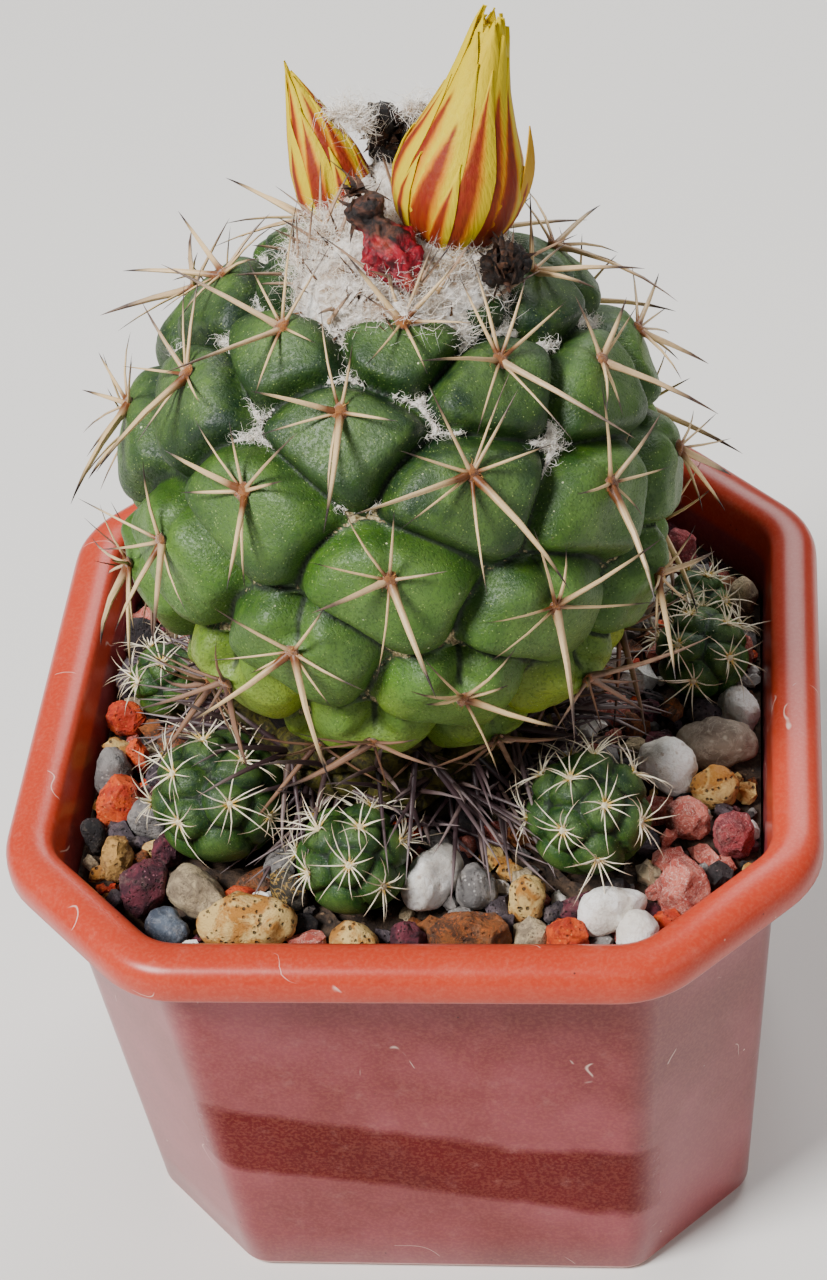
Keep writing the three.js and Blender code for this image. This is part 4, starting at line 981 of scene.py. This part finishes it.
def make_crown():
    rings = []
    for polar, radius in WOOL_RINGS:
        ring = []
        for angle in angles(CROWN_SIDES):
            direction = towards(radians(polar), angle)
            heap = 1.9 * noise.noise(direction * 9) + 0.8 * noise.noise(direction * 23)
            ring.append(GLOBE + direction * (radius + heap * smooth(26, 31, radius)))
        rings.append(ring)
    crown = lofted("crown_cushion", rings)
    modified(crown, "SUBSURF", levels=2, render_levels=2)
    for vert in crown.data.vertices:
        place = vert.co / MM
        out = (place - GLOBE).normalized()
        vert.co += out * (0.5 * noise.noise(place * 0.8) + 0.4 * noise.noise(place * 2.1)) * MM
    felt = wool("crown_felt", (246, 241, 234), (168, 144, 116), 0.85)
    settled(crown, felt, *ON_CROWN, angle=180)

    draw = Random(5)
    hairs, heaps, wisps, straws, flecks = [], [], [], [], []
    for _ in range(CROWN_HAIRS):
        polar = CROWN_SPREAD * sqrt(draw.random())
        out = towards(radians(polar), 2 * pi * draw.random())
        foot = crown_place(out, CROWN_TOP - 0.4, polar)
        way = (wander(draw) + out * 0.8).normalized()
        length = draw.uniform(1.4, 4.4)
        hairs.append(hair_move(foot, way, length, draw.uniform(0.025, 0.045), 1.2, draw.random()))
    for middle, sizes, count in WOOL_HEAPS:
        middle = Vector(middle)
        heaps.append(lump_move(middle, WORLD, sizes, sizes[0], 0.9))
        for _ in range(count):
            out = wander(draw).normalized()
            foot = middle + Vector([c * size * 0.8 for c, size in zip(out, sizes)])
            way = (out + wander(draw) * 1.4 + UP * 0.3).normalized()
            wisps.append(hair_move(foot, way, draw.uniform(0.8, 3.4), 0.032, 1.6, draw.random()))
    for _ in range(CROWN_STRAWS):
        turn = draw.uniform(0, 6.3)
        x = cos(turn) * draw.uniform(*STRAW_SPREAD)
        y = sin(turn) * draw.uniform(*STRAW_SPREAD)
        out = (STRAW_MIDDLE + Vector((x, y, 0)) - GLOBE).normalized()
        way = (Vector((-sin(turn), cos(turn), 0)) + wander(draw) * 0.6).normalized()
        straws.append(hair_move(GLOBE + out * 34.1, way, draw.uniform(2, 4.6), 0.04, 0.8, draw.random()))
    for _ in range(CROWN_FLECKS):
        polar = 7 + 20 * sqrt(draw.random())
        out = towards(radians(polar), 2 * pi * draw.random())
        if noise.noise(out * 11) < -0.1:
            continue
        way = (wander(draw) + out * 0.3).normalized()
        size = draw.uniform(0.08, 0.24)
        foot = crown_place(out, CROWN_TOP + 0.1, polar)
        length = draw.uniform(1.2, 3.4)
        flecks.append(thorn_move(foot, way, out + way * 0.1, length, size, wander(draw) * 0.8, 0.5))
    down = fibre("crown_down", (250, 247, 242), (222, 210, 192))
    strewn("crown_hairs", HAIR, hairs, down, *ON_CROWN)
    strewn("crown_heaps", LUMP, heaps, felt, *ON_CROWN, angle=180)
    strewn("crown_wisps", HAIR, wisps, down, *ON_CROWN)
    strewn("crown_straws", HAIR, straws, fibre("crown_straw", (226, 204, 160), (150, 116, 70)), *ON_CROWN)
    litter = withered("crown_litter", (120, 84, 54), (36, 26, 22), 0.8)
    strewn("crown_flecks", THORN, flecks, litter, *ON_CROWN)


# The youngest spines, which stand up out of the crown
def make_young_spines():
    young = []
    for k in range(YOUNG_SPINES):
        polar = 9 + 17 * sqrt(chance(k + 61))
        out = towards(radians(polar), 6.3 * chance(k * 1.7 + 5))
        direction = Tubercle(k, out, LEAN).way(360 * chance(k + 71), 34 + 34 * chance(k + 5))
        foot = GLOBE + out * (33.6 if polar < 18 else 32)
        length = 6.5 + 5 * chance(k + 81)
        young.append((foot, direction, out, length, 0.2 + 0.1 * chance(k), out * (-0.1 * length)))
    horn = spine_horn("young_horn", (196, 160, 112), (176, 144, 116), (40, 26, 24), 0.4)
    strewn("spines_young", THORN, raised(young, tree_of(*REMAINS, *BUDS)), horn, *ON_CROWN)


# Buds: foot, tip, greatest radius, seed, petals in a ring, how far up the stripes reach, and the outline
BUD_SHAPES = (
    ("bud_large", (7.65, 4.25, 134.3), (15, 9.2, 162.3), 7.8, 5, 8, 0.7,
     ((0, 0.42), (0.06, 0.68), (0.13, 0.87), (0.2, 0.97), (0.28, 1.0), (0.39, 0.92), (0.52, 0.72),
      (0.66, 0.53), (0.77, 0.43), (0.88, 0.35), (0.95, 0.28), (1, 0.2))),
    ("bud_small", (-4.6, 13, 131.4), (-11, 20.3, 149.2), 4.9, 9, 7, 0.9,
     ((0, 0.75), (0.12, 0.95), (0.25, 1.0), (0.4, 0.92), (0.6, 0.68), (0.8, 0.38), (0.92, 0.19), (1, 0.05))),
)
CORE_LEVELS = (0.01, 0.07, 0.18, 0.3, 0.45, 0.6, 0.75, 0.85, 0.9)
CORE_SIDES = 24

# Rows of petals from the inside out: where they start and end, how wide they are, where they begin to
# narrow, and how far out they lie. The first row is plain, and some petals of the last are missing.
PETAL_ROWS = (
    (0.72, 1.0, 1.5, 0.6, -0.4),
    (0, 0.99, 1.3, 0.84, 0.0),
    (0, 0.84, 1.15, 0.45, 0.15),
    (0, 0.5, 0.66, 0.1, 0.28),
)
PETAL_THICKNESS = 0.16
NO_STRIPE = 9.0

# The dried petal that hangs loose beside the large bud
LOOSE_LOW = Vector((15.3, 4.2, 136.6))
LOOSE_HIGH = Vector((18.1, 6.4, 148.4))


# A value at a level, from pairs of level and value
def girth(profile, up):
    for (low, a), (high, b) in zip(profile, profile[1:]):
        if up <= high:
            return lerp(a, b, (max(up, 0) - low) / (high - low))
    return profile[-1][1]


# A thin pointed petal: across runs from -1 to 1 and along from 0 to 1, and place gives each point.
def petal(name, place, steps, stripe):
    start_fresh()
    bpy.ops.mesh.primitive_grid_add(x_subdivisions=8, y_subdivisions=steps, size=2)
    piece = bpy.context.object
    piece.name = name
    verts = piece.data.vertices
    acrosses = [vert.co.x for vert in verts]
    alongs = [(vert.co.y + 1) / 2 for vert in verts]
    for vert, across, along in zip(verts, acrosses, alongs):
        vert.co = place(across, along) * MM
    mark(piece, across=acrosses, along=alongs)
    modified(piece, "SOLIDIFY", thickness=PETAL_THICKNESS * MM, offset=-1)
    mark(piece, stripe=stripe)
    return piece


def make_bud(name, foot, tip, radius, seed, petals, stripe_reach, profile):
    foot = Vector(foot)
    axis = Vector(tip) - foot
    height = axis.length
    axis.normalize()
    east = Vector((0, 1, 0)).cross(axis).normalized()
    north = axis.cross(east)

    def spot(up, angle, reach):
        return foot + axis * (height * up) + (east * cos(angle) + north * sin(angle)) * reach

    pieces = [lofted(name + "_petals", [
        [spot(up, angle, max(radius * girth(profile, up) - 0.8, 0.15)) for angle in angles(CORE_SIDES)]
        for up in CORE_LEVELS])]
    mark(pieces[0], across=0.8, along=1.0, stripe=NO_STRIPE)
    for row, (begin, end, share, start, layer) in enumerate(PETAL_ROWS):
        for k in range(petals):
            draw = chance(seed * 7 + row * 31 + k)
            if row == 3 and draw < 0.4:
                continue
            middle = 2 * pi * (k + 0.5 * row + 0.3 * (draw - 0.5)) / petals
            top = end * (1 - (0.09 if row < 2 else 0.25) * chance(seed + row * 13 + k * 3))

            def place(across, along):
                up = lerp(begin, top, along)
                width = pi / petals * share * max(1 - max((along - start) / (1 - start), 0) ** 2, 0.02)
                lift = layer + 0.2 * across + 0.25 * (1 - across * across)
                reach = radius * girth(profile, up) - 0.65 + lift
                return spot(up, middle + 0.6 * up + across * width, max(reach, 0.12 + lift * 0.4))

            stripe = max(top / stripe_reach, 1.04) * (0.9 + 0.3 * draw) if row else NO_STRIPE
            pieces.append(petal("petal", place, 22, stripe))
    pick(pieces[0])
    for piece in pieces[1:]:
        piece.select_set(True)
    bpy.ops.object.join()
    return bpy.context.object


def make_buds():
    look = petal_skin("petal_skin", (206, 190, 0), (188, 150, 0), (84, 0, 12))
    for shape in BUD_SHAPES:
        settled(make_bud(*shape), look, "petals", shape[0], angle=70)

    def place(across, along):
        width = 1.15 * sin(pi * (0.12 + 0.86 * along)) ** 1.2
        bow = Vector((0.9, -0.9, 0)) * sin(pi * along)
        return LOOSE_LOW + (LOOSE_HIGH - LOOSE_LOW) * along + bow + Vector((0.55, 0.83, 0)) * (across * width)

    dry = petal_skin("petal_dry", (206, 160, 30), (150, 100, 20), (120, 50, 16))
    settled(petal("petal_loose", place, 14, 2.0), dry, "petals", "bud_large", angle=70)


# A merged copy of a solid, swollen about its middle
def copy_of(node, name, swell=1.0):
    piece = linked(name, bpy.data.objects[node].data.copy())
    pick(piece)
    bpy.ops.object.mode_set(mode="EDIT")
    bpy.ops.mesh.select_all(action="SELECT")
    bpy.ops.mesh.remove_doubles(threshold=1e-6)
    bpy.ops.object.mode_set(mode="OBJECT")
    verts = piece.data.vertices
    middle = sum((vert.co for vert in verts), Vector()) / len(verts)
    for vert in verts:
        vert.co = middle + (vert.co - middle) * swell
    return piece


# Moves a surface in and out by waves of noise, each with a size, a depth and a shift.
def roughened(piece, *waves):
    normals = [vert.normal.copy() for vert in piece.data.vertices]
    for vert, normal in zip(piece.data.vertices, normals):
        push = 0
        for size, depth, shift in waves:
            push += depth * noise.noise(vert.co / MM * (1 / size) + Vector((shift, shift, 0)))
        vert.co += normal * push * MM


# The dried fruit: a shrivelled tongue of flesh with a thin neck and a round withered head
FRUIT_LINE = [Vector(at) for at in (
    (5.2, -6.6, 135.6), (3.6, -4.6, 138.4), (1.6, -2.8, 140.6), (0.2, -1.5, 142.2), (-0.8, -0.3, 144.2))]
FRUIT_GIRTH = ((0, 0.9), (0.12, 2.5), (0.28, 3.8), (0.42, 3.9), (0.55, 2.4), (0.66, 1.4), (0.74, 1.8),
               (0.84, 2.3), (0.93, 2.0), (1, 0.7))
FRUIT_RINGS = 49
FRUIT_SIDES = 48
FLOWER_GRAIN = 0.28


def fruit_form():
    rings = []
    for step in range(FRUIT_RINGS):
        t = step / (FRUIT_RINGS - 1)
        at = t * (len(FRUIT_LINE) - 1)
        low = min(int(at), len(FRUIT_LINE) - 2)
        here, ahead = FRUIT_LINE[low:low + 2]
        middle = here.lerp(ahead, at - low)
        way = (ahead - here).normalized()
        side = way.cross(UP).normalized()
        up = side.cross(way)
        radius = girth(FRUIT_GIRTH, t)
        fleshy = 1 - smooth(0.5, 0.64, t)
        ring = []
        for angle in angles(FRUIT_SIDES):
            out = side * cos(angle) + up * (sin(angle) * lerp(1, 0.62, fleshy))
            fold = noise.noise(Vector((cos(angle) * 2.1, sin(angle) * 2.1, t * 2.2)))
            crumple = noise.noise((middle + out * radius) * 0.7)
            fine = noise.noise((middle + out * radius) * 1.9)
            swing = 1.12 - lerp(0.4, 0.6, fleshy) * abs(fold) ** 0.7 + 0.22 * crumple + 0.12 * fine
            swing -= 0.2 * fleshy * (1 - abs(sin(4.5 * angle + 2.2 * t + crumple))) ** 2
            ring.append(middle + out * (radius * swing))
        rings.append(ring)
    return lofted("dried_fruit_body", rings)


def flower_form(node):
    body = copy_of(node, node + "_body")
    modified(body, "REMESH", mode="VOXEL", voxel_size=FLOWER_GRAIN * MM)
    roughened(body, (2.0, 0.5, 1), (0.9, 0.4, 5), (0.5, 0.22, 9))
    return body


# Each dried piece with its look, and the husk strips on it: their middle, spread and number
def make_remains():
    right = withered("flower_right_husk", (46, 28, 18), (7, 5, 4))
    back = withered("flower_back_husk", (36, 28, 24), (7, 6, 6))
    husk = withered("husk_strips", (84, 54, 36), (18, 13, 12))
    for node, slot, look, middle, spread, count in (
            ("dried_fruit", "dried_fruit", fruit_flesh(), (-0.7, -0.4, 143.8), 1.5, 26),
            ("dried_flower_right", "dried_flower", right, (14.8, -2.4, 136.2), 2.2, 46),
            ("dried_flower_back", "dried_flower", back, (0.6, 20.3, 139), 2.6, 60)):
        body = fruit_form() if node == "dried_fruit" else flower_form(node)
        settled(body, look, slot, node, angle=180)
        draw = Random(len(node))
        strips = []
        for _ in range(count):
            out = Vector((draw.gauss(0, 1), draw.gauss(0, 1), draw.gauss(0, 1))).normalized()
            way = (out * 0.5 + wander(draw, -0.4, 1)).normalized()
            foot = Vector(middle) + out * (spread * 0.8)
            bend = wander(draw, -1.4, 0.4) * 1.1
            strips.append(thorn_move(foot, way, out + way * 0.1, draw.uniform(1.4, 3.2), 0.5, bend, 0.22))
        strewn(node + "_strips", THORN, strips, husk, slot, node)


# Offsets: place, radius, how many tubercles, and a seed
PUPS = (
    ("offset_front_left", (-23.5, -21.5, 71), 8.4, 16, 3),
    ("offset_front", (-6.2, -31, 70), 6.9, 14, 8),
    ("offset_front_right", (21.9, -24.2, 70.6), 7.7, 15, 14),
    ("offset_right", (35.2, 5.2, 69.6), 6, 12, 21),
    ("offset_back_right", (34.4, 16.6, 67.8), 4.5, 9, 27),
    ("offset_left", (-33.7, 2.2, 68.4), 5, 10, 33),
)


def make_pup(name, middle, reach, count, seed, flesh, cream, felt):
    middle = Vector(middle)
    tubercles = []
    for n in range(count):
        out = towards(acos(1 - 1.45 * (n + 0.4) / count), radians(seed * 41 + TURN * n), WORLD)
        tubercles.append(Tubercle(n, out, UP, 1 / sqrt(count)))
    creases, tips = [], []

    def radius_at(direction):
        found, gap = nearest(direction, tubercles, PUP_DOME, 1)
        # Crease lines, and tip marks where the skin paints highlights
        creases.append(exp(-(gap / 0.12) ** 2) * 0.9)
        tips.append(1 - found[0][0])
        return reach * (1 - sunk(found[0][0], gap, found[0][2], PUP_SLOPE, PUP_FOLD))

    body = balled(name + "_body", middle, PUP_CUTS, radius_at)
    for vert in body.data.vertices:
        vert.co.z = max(vert.co.z, (MIX_TOP + CLEAR) * MM)
    mark(body, crease=creases, tip=tips, cell=0.5)
    on_pup = ("offset_skin", name)
    settled(body, flesh, *on_pup, angle=180)
    spines, pads, hairs = [], [], []
    for t in tubercles:
        if t.out.z < -0.12:
            continue
        top = middle + t.out * reach
        pads.append(lump_move(top, t.axes, PUP_PAD_SIZES, t.n, 0.3))
        for k in range(PUP_SPINES):
            clock = 33 * (k + 0.9 * chance(seed + t.n * 3 + k))
            side = t.way(clock, 0)
            direction = t.way(clock, 20 + 34 * chance(t.n + k * 5))
            length = (2.9 + 0.36 * reach) * (0.55 + 0.75 * chance(seed * 3 + t.n * 7 + k))
            bend = t.out * (-0.32 * length) + side.cross(t.out) * (0.5 * length * (chance(k + t.n * 9) - 0.5))
            spines.append((top + side * 0.35, direction, t.out, length, PUP_SPINE_RADIUS, bend))
            hairs.append(hair_move(top + side * 0.4, direction, 0.9, 0.04, 1.0, chance(k + t.n)))
    others = tree_of("cactus", "pot", *PEBBLES, *[other for other in OFFSETS if other != name])
    strewn(name + "_spines", THORN, raised(spines, others), cream, *on_pup)
    strewn(name + "_pads", LUMP, pads, felt, *on_pup)
    strewn(name + "_hairs", HAIR, hairs, felt, *on_pup)


def make_pups():
    flesh = skin("offset_skin", (12, 42, 14), (22, 62, 14), (52, 90, 16), 0.5, 0.062, 0.017)
    cream = spine_horn("offset_horn", (214, 176, 80), (250, 240, 212), (214, 190, 160), 0.0)
    felt = wool("offset_felt", (240, 228, 190), (204, 176, 104), 0.2)
    for pup in PUPS:
        make_pup(*pup, flesh, cream, felt)


# Neck: withered flesh, dead tubercles and a tangle of old spines under the globe. Its radius is by height.
NECK_MIDDLE = GLOBE - LEAN * ((GLOBE.z - MIX_TOP) / LEAN.z)
NECK_GIRTH = ((62.9, 16), (64.5, 16.2), (66.5, 16.4), (69, 16.8), (71.5, 17.2), (74, 17.6), (77, 18.4),
              (80, 18.6), (82, 16))


def make_neck():
    rings = []
    for z, radius in NECK_GIRTH:
        ring = []
        for angle in angles(NECK_SIDES):
            spot = Vector((cos(angle), sin(angle), 0)) * radius
            push = 1.5 * noise.noise(spot * 0.22 + UP * (z * 0.3)) + 1.1 * noise.noise(spot * 0.6 + UP * z)
            ring.append(NECK_MIDDLE + Vector((0, 0, z - NECK_MIDDLE.z)) + spot * (1 + push / radius))
        rings.append(ring)
    bark = withered("neck_bark", (30, 23, 20), (9, 7, 7), 0.9)
    settled(lofted("neck_flesh", rings), bark, *ON_GLOBE, angle=180)

    lumps, shrunk, spines = [], [], []
    for n in range(NECK_PLACES):
        angle = radians(TURN * n)
        z = NECK_LOW + NECK_RISE * (n + 0.5) / NECK_PLACES
        out = Vector((cos(angle), sin(angle), -0.12 + 0.2 * (chance(n) - 0.5))).normalized()
        base = Vector((NECK_MIDDLE.x, NECK_MIDDLE.y, z)) + out * (girth(NECK_GIRTH, z) + 0.4)
        t = Tubercle(n, out, UP)
        if z > SHRUNK_FROM:
            shrunk.append(lump_move(base, t.axes, (3.4, 2.6, 2.2 + chance(n * 1.1)), n, 0.5))
        elif n % 3:
            lumps.append(lump_move(base, t.axes, (3.1, 1.9, 1.7), n, 0.7))
        for k in range(NECK_SPINES):
            direction = t.way(360 * chance(n * 3.7 + k), 14 + 52 * chance(n * 2.9 + k))
            length = 9 + 8.5 * chance(n * 5.1 + k)
            bend = Vector((chance(n + k * 2) - 0.5, chance(n * 2 + k) - 0.5, -0.6)) * (length * 0.2)
            foot = base + out * 1.2
            reach = direction.z * length + bend.z
            if foot.z + reach < MIX_TOP + NECK_CLEAR:
                lift = MIX_TOP + NECK_CLEAR + 0.4 - foot.z - reach
                direction = (direction * length + UP * lift).normalized()
            spines.append((foot, direction, out, length, 0.34 + 0.16 * chance(n + k), bend))
    husk = withered("neck_husk", (60, 50, 28), (14, 11, 9), 0.85)
    strewn("neck_lumps", LUMP, lumps, husk, *ON_GLOBE, angle=180)
    shrivelled = withered("shrunk_tubercle", (84, 78, 22), (28, 24, 12), 0.7)
    strewn("shrunk_tubercles", LUMP, shrunk, shrivelled, *ON_GLOBE, angle=180)
    grey = spine_horn("spine_old", (24, 15, 16), (62, 42, 46), (126, 110, 110), 0.2)
    strewn("spines_old", THORN, raised(spines, tree_of("pot", *PEBBLES, *OFFSETS)), grey, *ON_GLOBE)


# Gravel: two main colours and a fleck colour of each kind, its grain, its pits and veins, and its roughness
STONES = {
    "cream": ((226, 190, 118), (184, 122, 46), (110, 66, 30), 0.9, 1.0),
    "white": ((252, 249, 244), (236, 228, 216), (190, 170, 150), 1.6, 0.0, 0.3, 0.5),
    "grey": ((142, 136, 132), (108, 104, 102), (196, 190, 184), 0.8, 0.3),
    "slate": ((88, 98, 112), (62, 70, 84), (150, 156, 166), 1.4, 0.0, 0.3, 0.55),
    "taupe": ((150, 134, 118), (118, 102, 88), (190, 178, 160), 1.6, 0.0, 0.4, 0.6),
    "black": ((44, 36, 38), (26, 22, 24), (98, 84, 84), 0.8, 0.8),
    "tan": ((202, 180, 142), (142, 124, 100), (96, 82, 68), 0.9, 0.2, 0.6),
    "orange": ((226, 84, 20), (186, 46, 10), (240, 140, 70), 0.8, 0.5),
    "maroon": ((112, 44, 58), (66, 24, 38), (176, 116, 126), 0.7, 0.9),
    "ochre": ((192, 146, 78), (140, 96, 44), (100, 66, 34), 1.0, 0.5),
    "gold": ((66, 58, 44), (40, 36, 30), (186, 146, 66), 1.2, 0.0, 0.9, 0.5),
    "brown": ((134, 78, 36), (78, 46, 26), (196, 96, 28), 0.9, 0.4, 0.5),
    "pink": ((214, 116, 98), (176, 76, 64), (244, 206, 192), 0.7, 0.2, 0.5, 0.6),
    "rose": ((170, 66, 70), (118, 36, 44), (216, 150, 146), 0.7, 0.3, 0.4, 0.6),
    "lava": ((98, 84, 90), (64, 54, 60), (140, 126, 130), 0.7, 1.0),
}
ROUNDED = ("cream", "white", "grey", "slate", "taupe", "black", "tan")
ROUNDED_SWELL = 1.13
BROKEN_SWELL = 1.05
BROKEN_EDGE = 0.35
GRIT_COLOURS = ("orange", "grey", "cream", "lava", "brown", "white", "pink", "tan", "black", "maroon")

# Grit by its least and greatest size, and how many places are tried for it
GRIT_SIZES = ((1.7, 2.5, 3200), (1.1, 1.7, 5200), (0.6, 1.0, 8000))


def make_pebbles(looks):
    for index, node in enumerate(PEBBLES):
        colour = node.split("_")[1]
        if colour in ROUNDED:
            piece = copy_of(node, node + "_stone", ROUNDED_SWELL)
            modified(piece, "SUBSURF", levels=2, render_levels=2)
            roughened(piece, (4.2, 0.9, index), (1.5, 0.3, index + 4), (0.6, 0.14, index))
        else:
            piece = copy_of(node, node + "_stone", BROKEN_SWELL)
            modified(piece, "BEVEL", width=BROKEN_EDGE * MM, segments=2, limit_method="ANGLE",
                     angle_limit=radians(12))
            modified(piece, "SUBSURF", subdivision_type="SIMPLE", levels=2, render_levels=2)
            roughened(piece, (3.4, 0.45, index), (1.1, 0.22, index + 4), (0.42, 0.18, index))
        settled(piece, looks[colour], "stone_" + colour, node, angle=180 if colour in ROUNDED else 50)


def make_grit(looks):
    pebbles = tree_of(*PEBBLES, *OFFSETS)
    ground = tree_of("potting_mix")
    draw = Random(23)
    placed = []
    moves = {colour: [] for colour in GRIT_COLOURS}
    for low, high, tries in GRIT_SIZES:
        for _ in range(tries):
            x = draw.uniform(-GRIT_TRIED, GRIT_TRIED)
            y = draw.uniform(-GRIT_TRIED, GRIT_TRIED)
            size = draw.uniform(low, high)
            if abs(x) + abs(y) > GRIT_CORNER - size * 1.5 or max(abs(x), abs(y)) > GRIT_REACH - size:
                continue
            if hypot(x - NECK_MIDDLE.x, y - NECK_MIDDLE.y) < GRIT_FROM_NECK + size:
                continue
            hit = ground.ray_cast(Vector((x, y, 75)), -UP)[0]
            if not hit:
                continue
            place = Vector((x, y, hit.z + size * draw.uniform(0.35, 1.1)))
            if pebbles.find_nearest(place)[3] < size * 0.72 or pebbles.ray_cast(place, UP, 12)[0]:
                continue
            if any((place - p).length < 0.82 * (size + r) for p, r in placed):
                continue
            placed.append((place, size))
            tilt = Matrix.Rotation(draw.uniform(0, 6.3), 3, UP)
            tilt = tilt @ Matrix.Rotation(draw.uniform(-0.5, 0.5), 3, "X")
            axes = [tilt @ axis for axis in WORLD]
            sizes = [size * draw.uniform(*limits) for limits in ((0.9, 1.3), (0.75, 1.0), (0.65, 0.95))]
            colour = GRIT_COLOURS[min(int(len(GRIT_COLOURS) * draw.random() ** 1.15), len(GRIT_COLOURS) - 1)]
            moves[colour].append(lump_move(place, axes, sizes, draw.uniform(0, 50), 0.55))
    for colour, chips in moves.items():
        strewn("grit_" + colour, CHIP, chips, looks[colour], "stone_" + colour, angle=35)


# The order of making
make_pot()
make_body()
make_neck()
make_spines()
make_areoles()
make_axil_wool()
make_crown()
make_young_spines()
make_buds()
make_remains()
make_pups()
stone_looks = {name: stone(name, *look) for name, look in STONES.items()}
make_pebbles(stone_looks)
make_grit(stone_looks)
discard(THORN, HAIR, LUMP, CHIP)
mix = bpy.data.objects["potting_mix"]
mix.data.materials.clear()
mix.data.materials.append(earth())

# Floor
FLOOR_SIZE = 12
start_fresh()
bpy.ops.mesh.primitive_plane_add(size=FLOOR_SIZE)
floor_plane = bpy.context.object
floor_plane.name = "studio_floor"
pale = Shader("studio_floor")
pale.colour = (222, 219, 214)
floor_plane.data.materials.append(pale.finish(Roughness=0.85))

# Lights, in metres and watts: name, place, aim, size and power
LIGHTS = (
    ("key_light", (-0.38, -0.34, 0.74), (0, 0, 0.09), (0.24, 0.24), 14.5),
    ("fill_light", (0.6, -0.45, 0.45), (0, 0, 0.07), (0.5, 0.5), 1.3),
    ("back_light", (0.15, 0.6, 0.6), (0, 0, 0.1), (0.5, 0.3), 5),
)
for name, place, aim, size, power in LIGHTS:
    lamp = bpy.data.lights.new(name, "AREA")
    lamp.shape = "RECTANGLE"
    lamp.size, lamp.size_y = size
    lamp.energy = power
    light = linked(name, lamp)
    light.location = place
    light.rotation_euler = (Vector(aim) - Vector(place)).to_track_quat("-Z", "Y").to_euler()

# Faint light from all round
SKY_COLOUR = (0.9, 0.93, 1.0, 1)
SKY_STRENGTH = 0.16
world = bpy.data.worlds.new("studio")
world.use_nodes = True
sky = world.node_tree.nodes["Background"].inputs
sky["Color"].default_value = SKY_COLOUR
sky["Strength"].default_value = SKY_STRENGTH
bpy.context.scene.world = world

# Camera at the photographed angle
CAMERA_PLACE = Vector((44.739, -276.539, 331.698))
CAMERA_RIGHT = Vector((0.99271, 0.08180, -0.08851))
CAMERA_UP = Vector((0.00964, 0.67813, 0.73488))
CAMERA_LENS = 84.63
CAMERA_SENSOR = 36
lens = bpy.data.cameras.new("camera")
lens.lens = CAMERA_LENS
lens.sensor_width = CAMERA_SENSOR
lens.clip_start = 0.01
camera = linked("camera", lens)
turn = Matrix((CAMERA_RIGHT, CAMERA_UP, CAMERA_RIGHT.cross(CAMERA_UP))).transposed()
camera.matrix_world = Matrix.Translation(CAMERA_PLACE * MM) @ turn.to_4x4()
bpy.context.scene.camera = camera
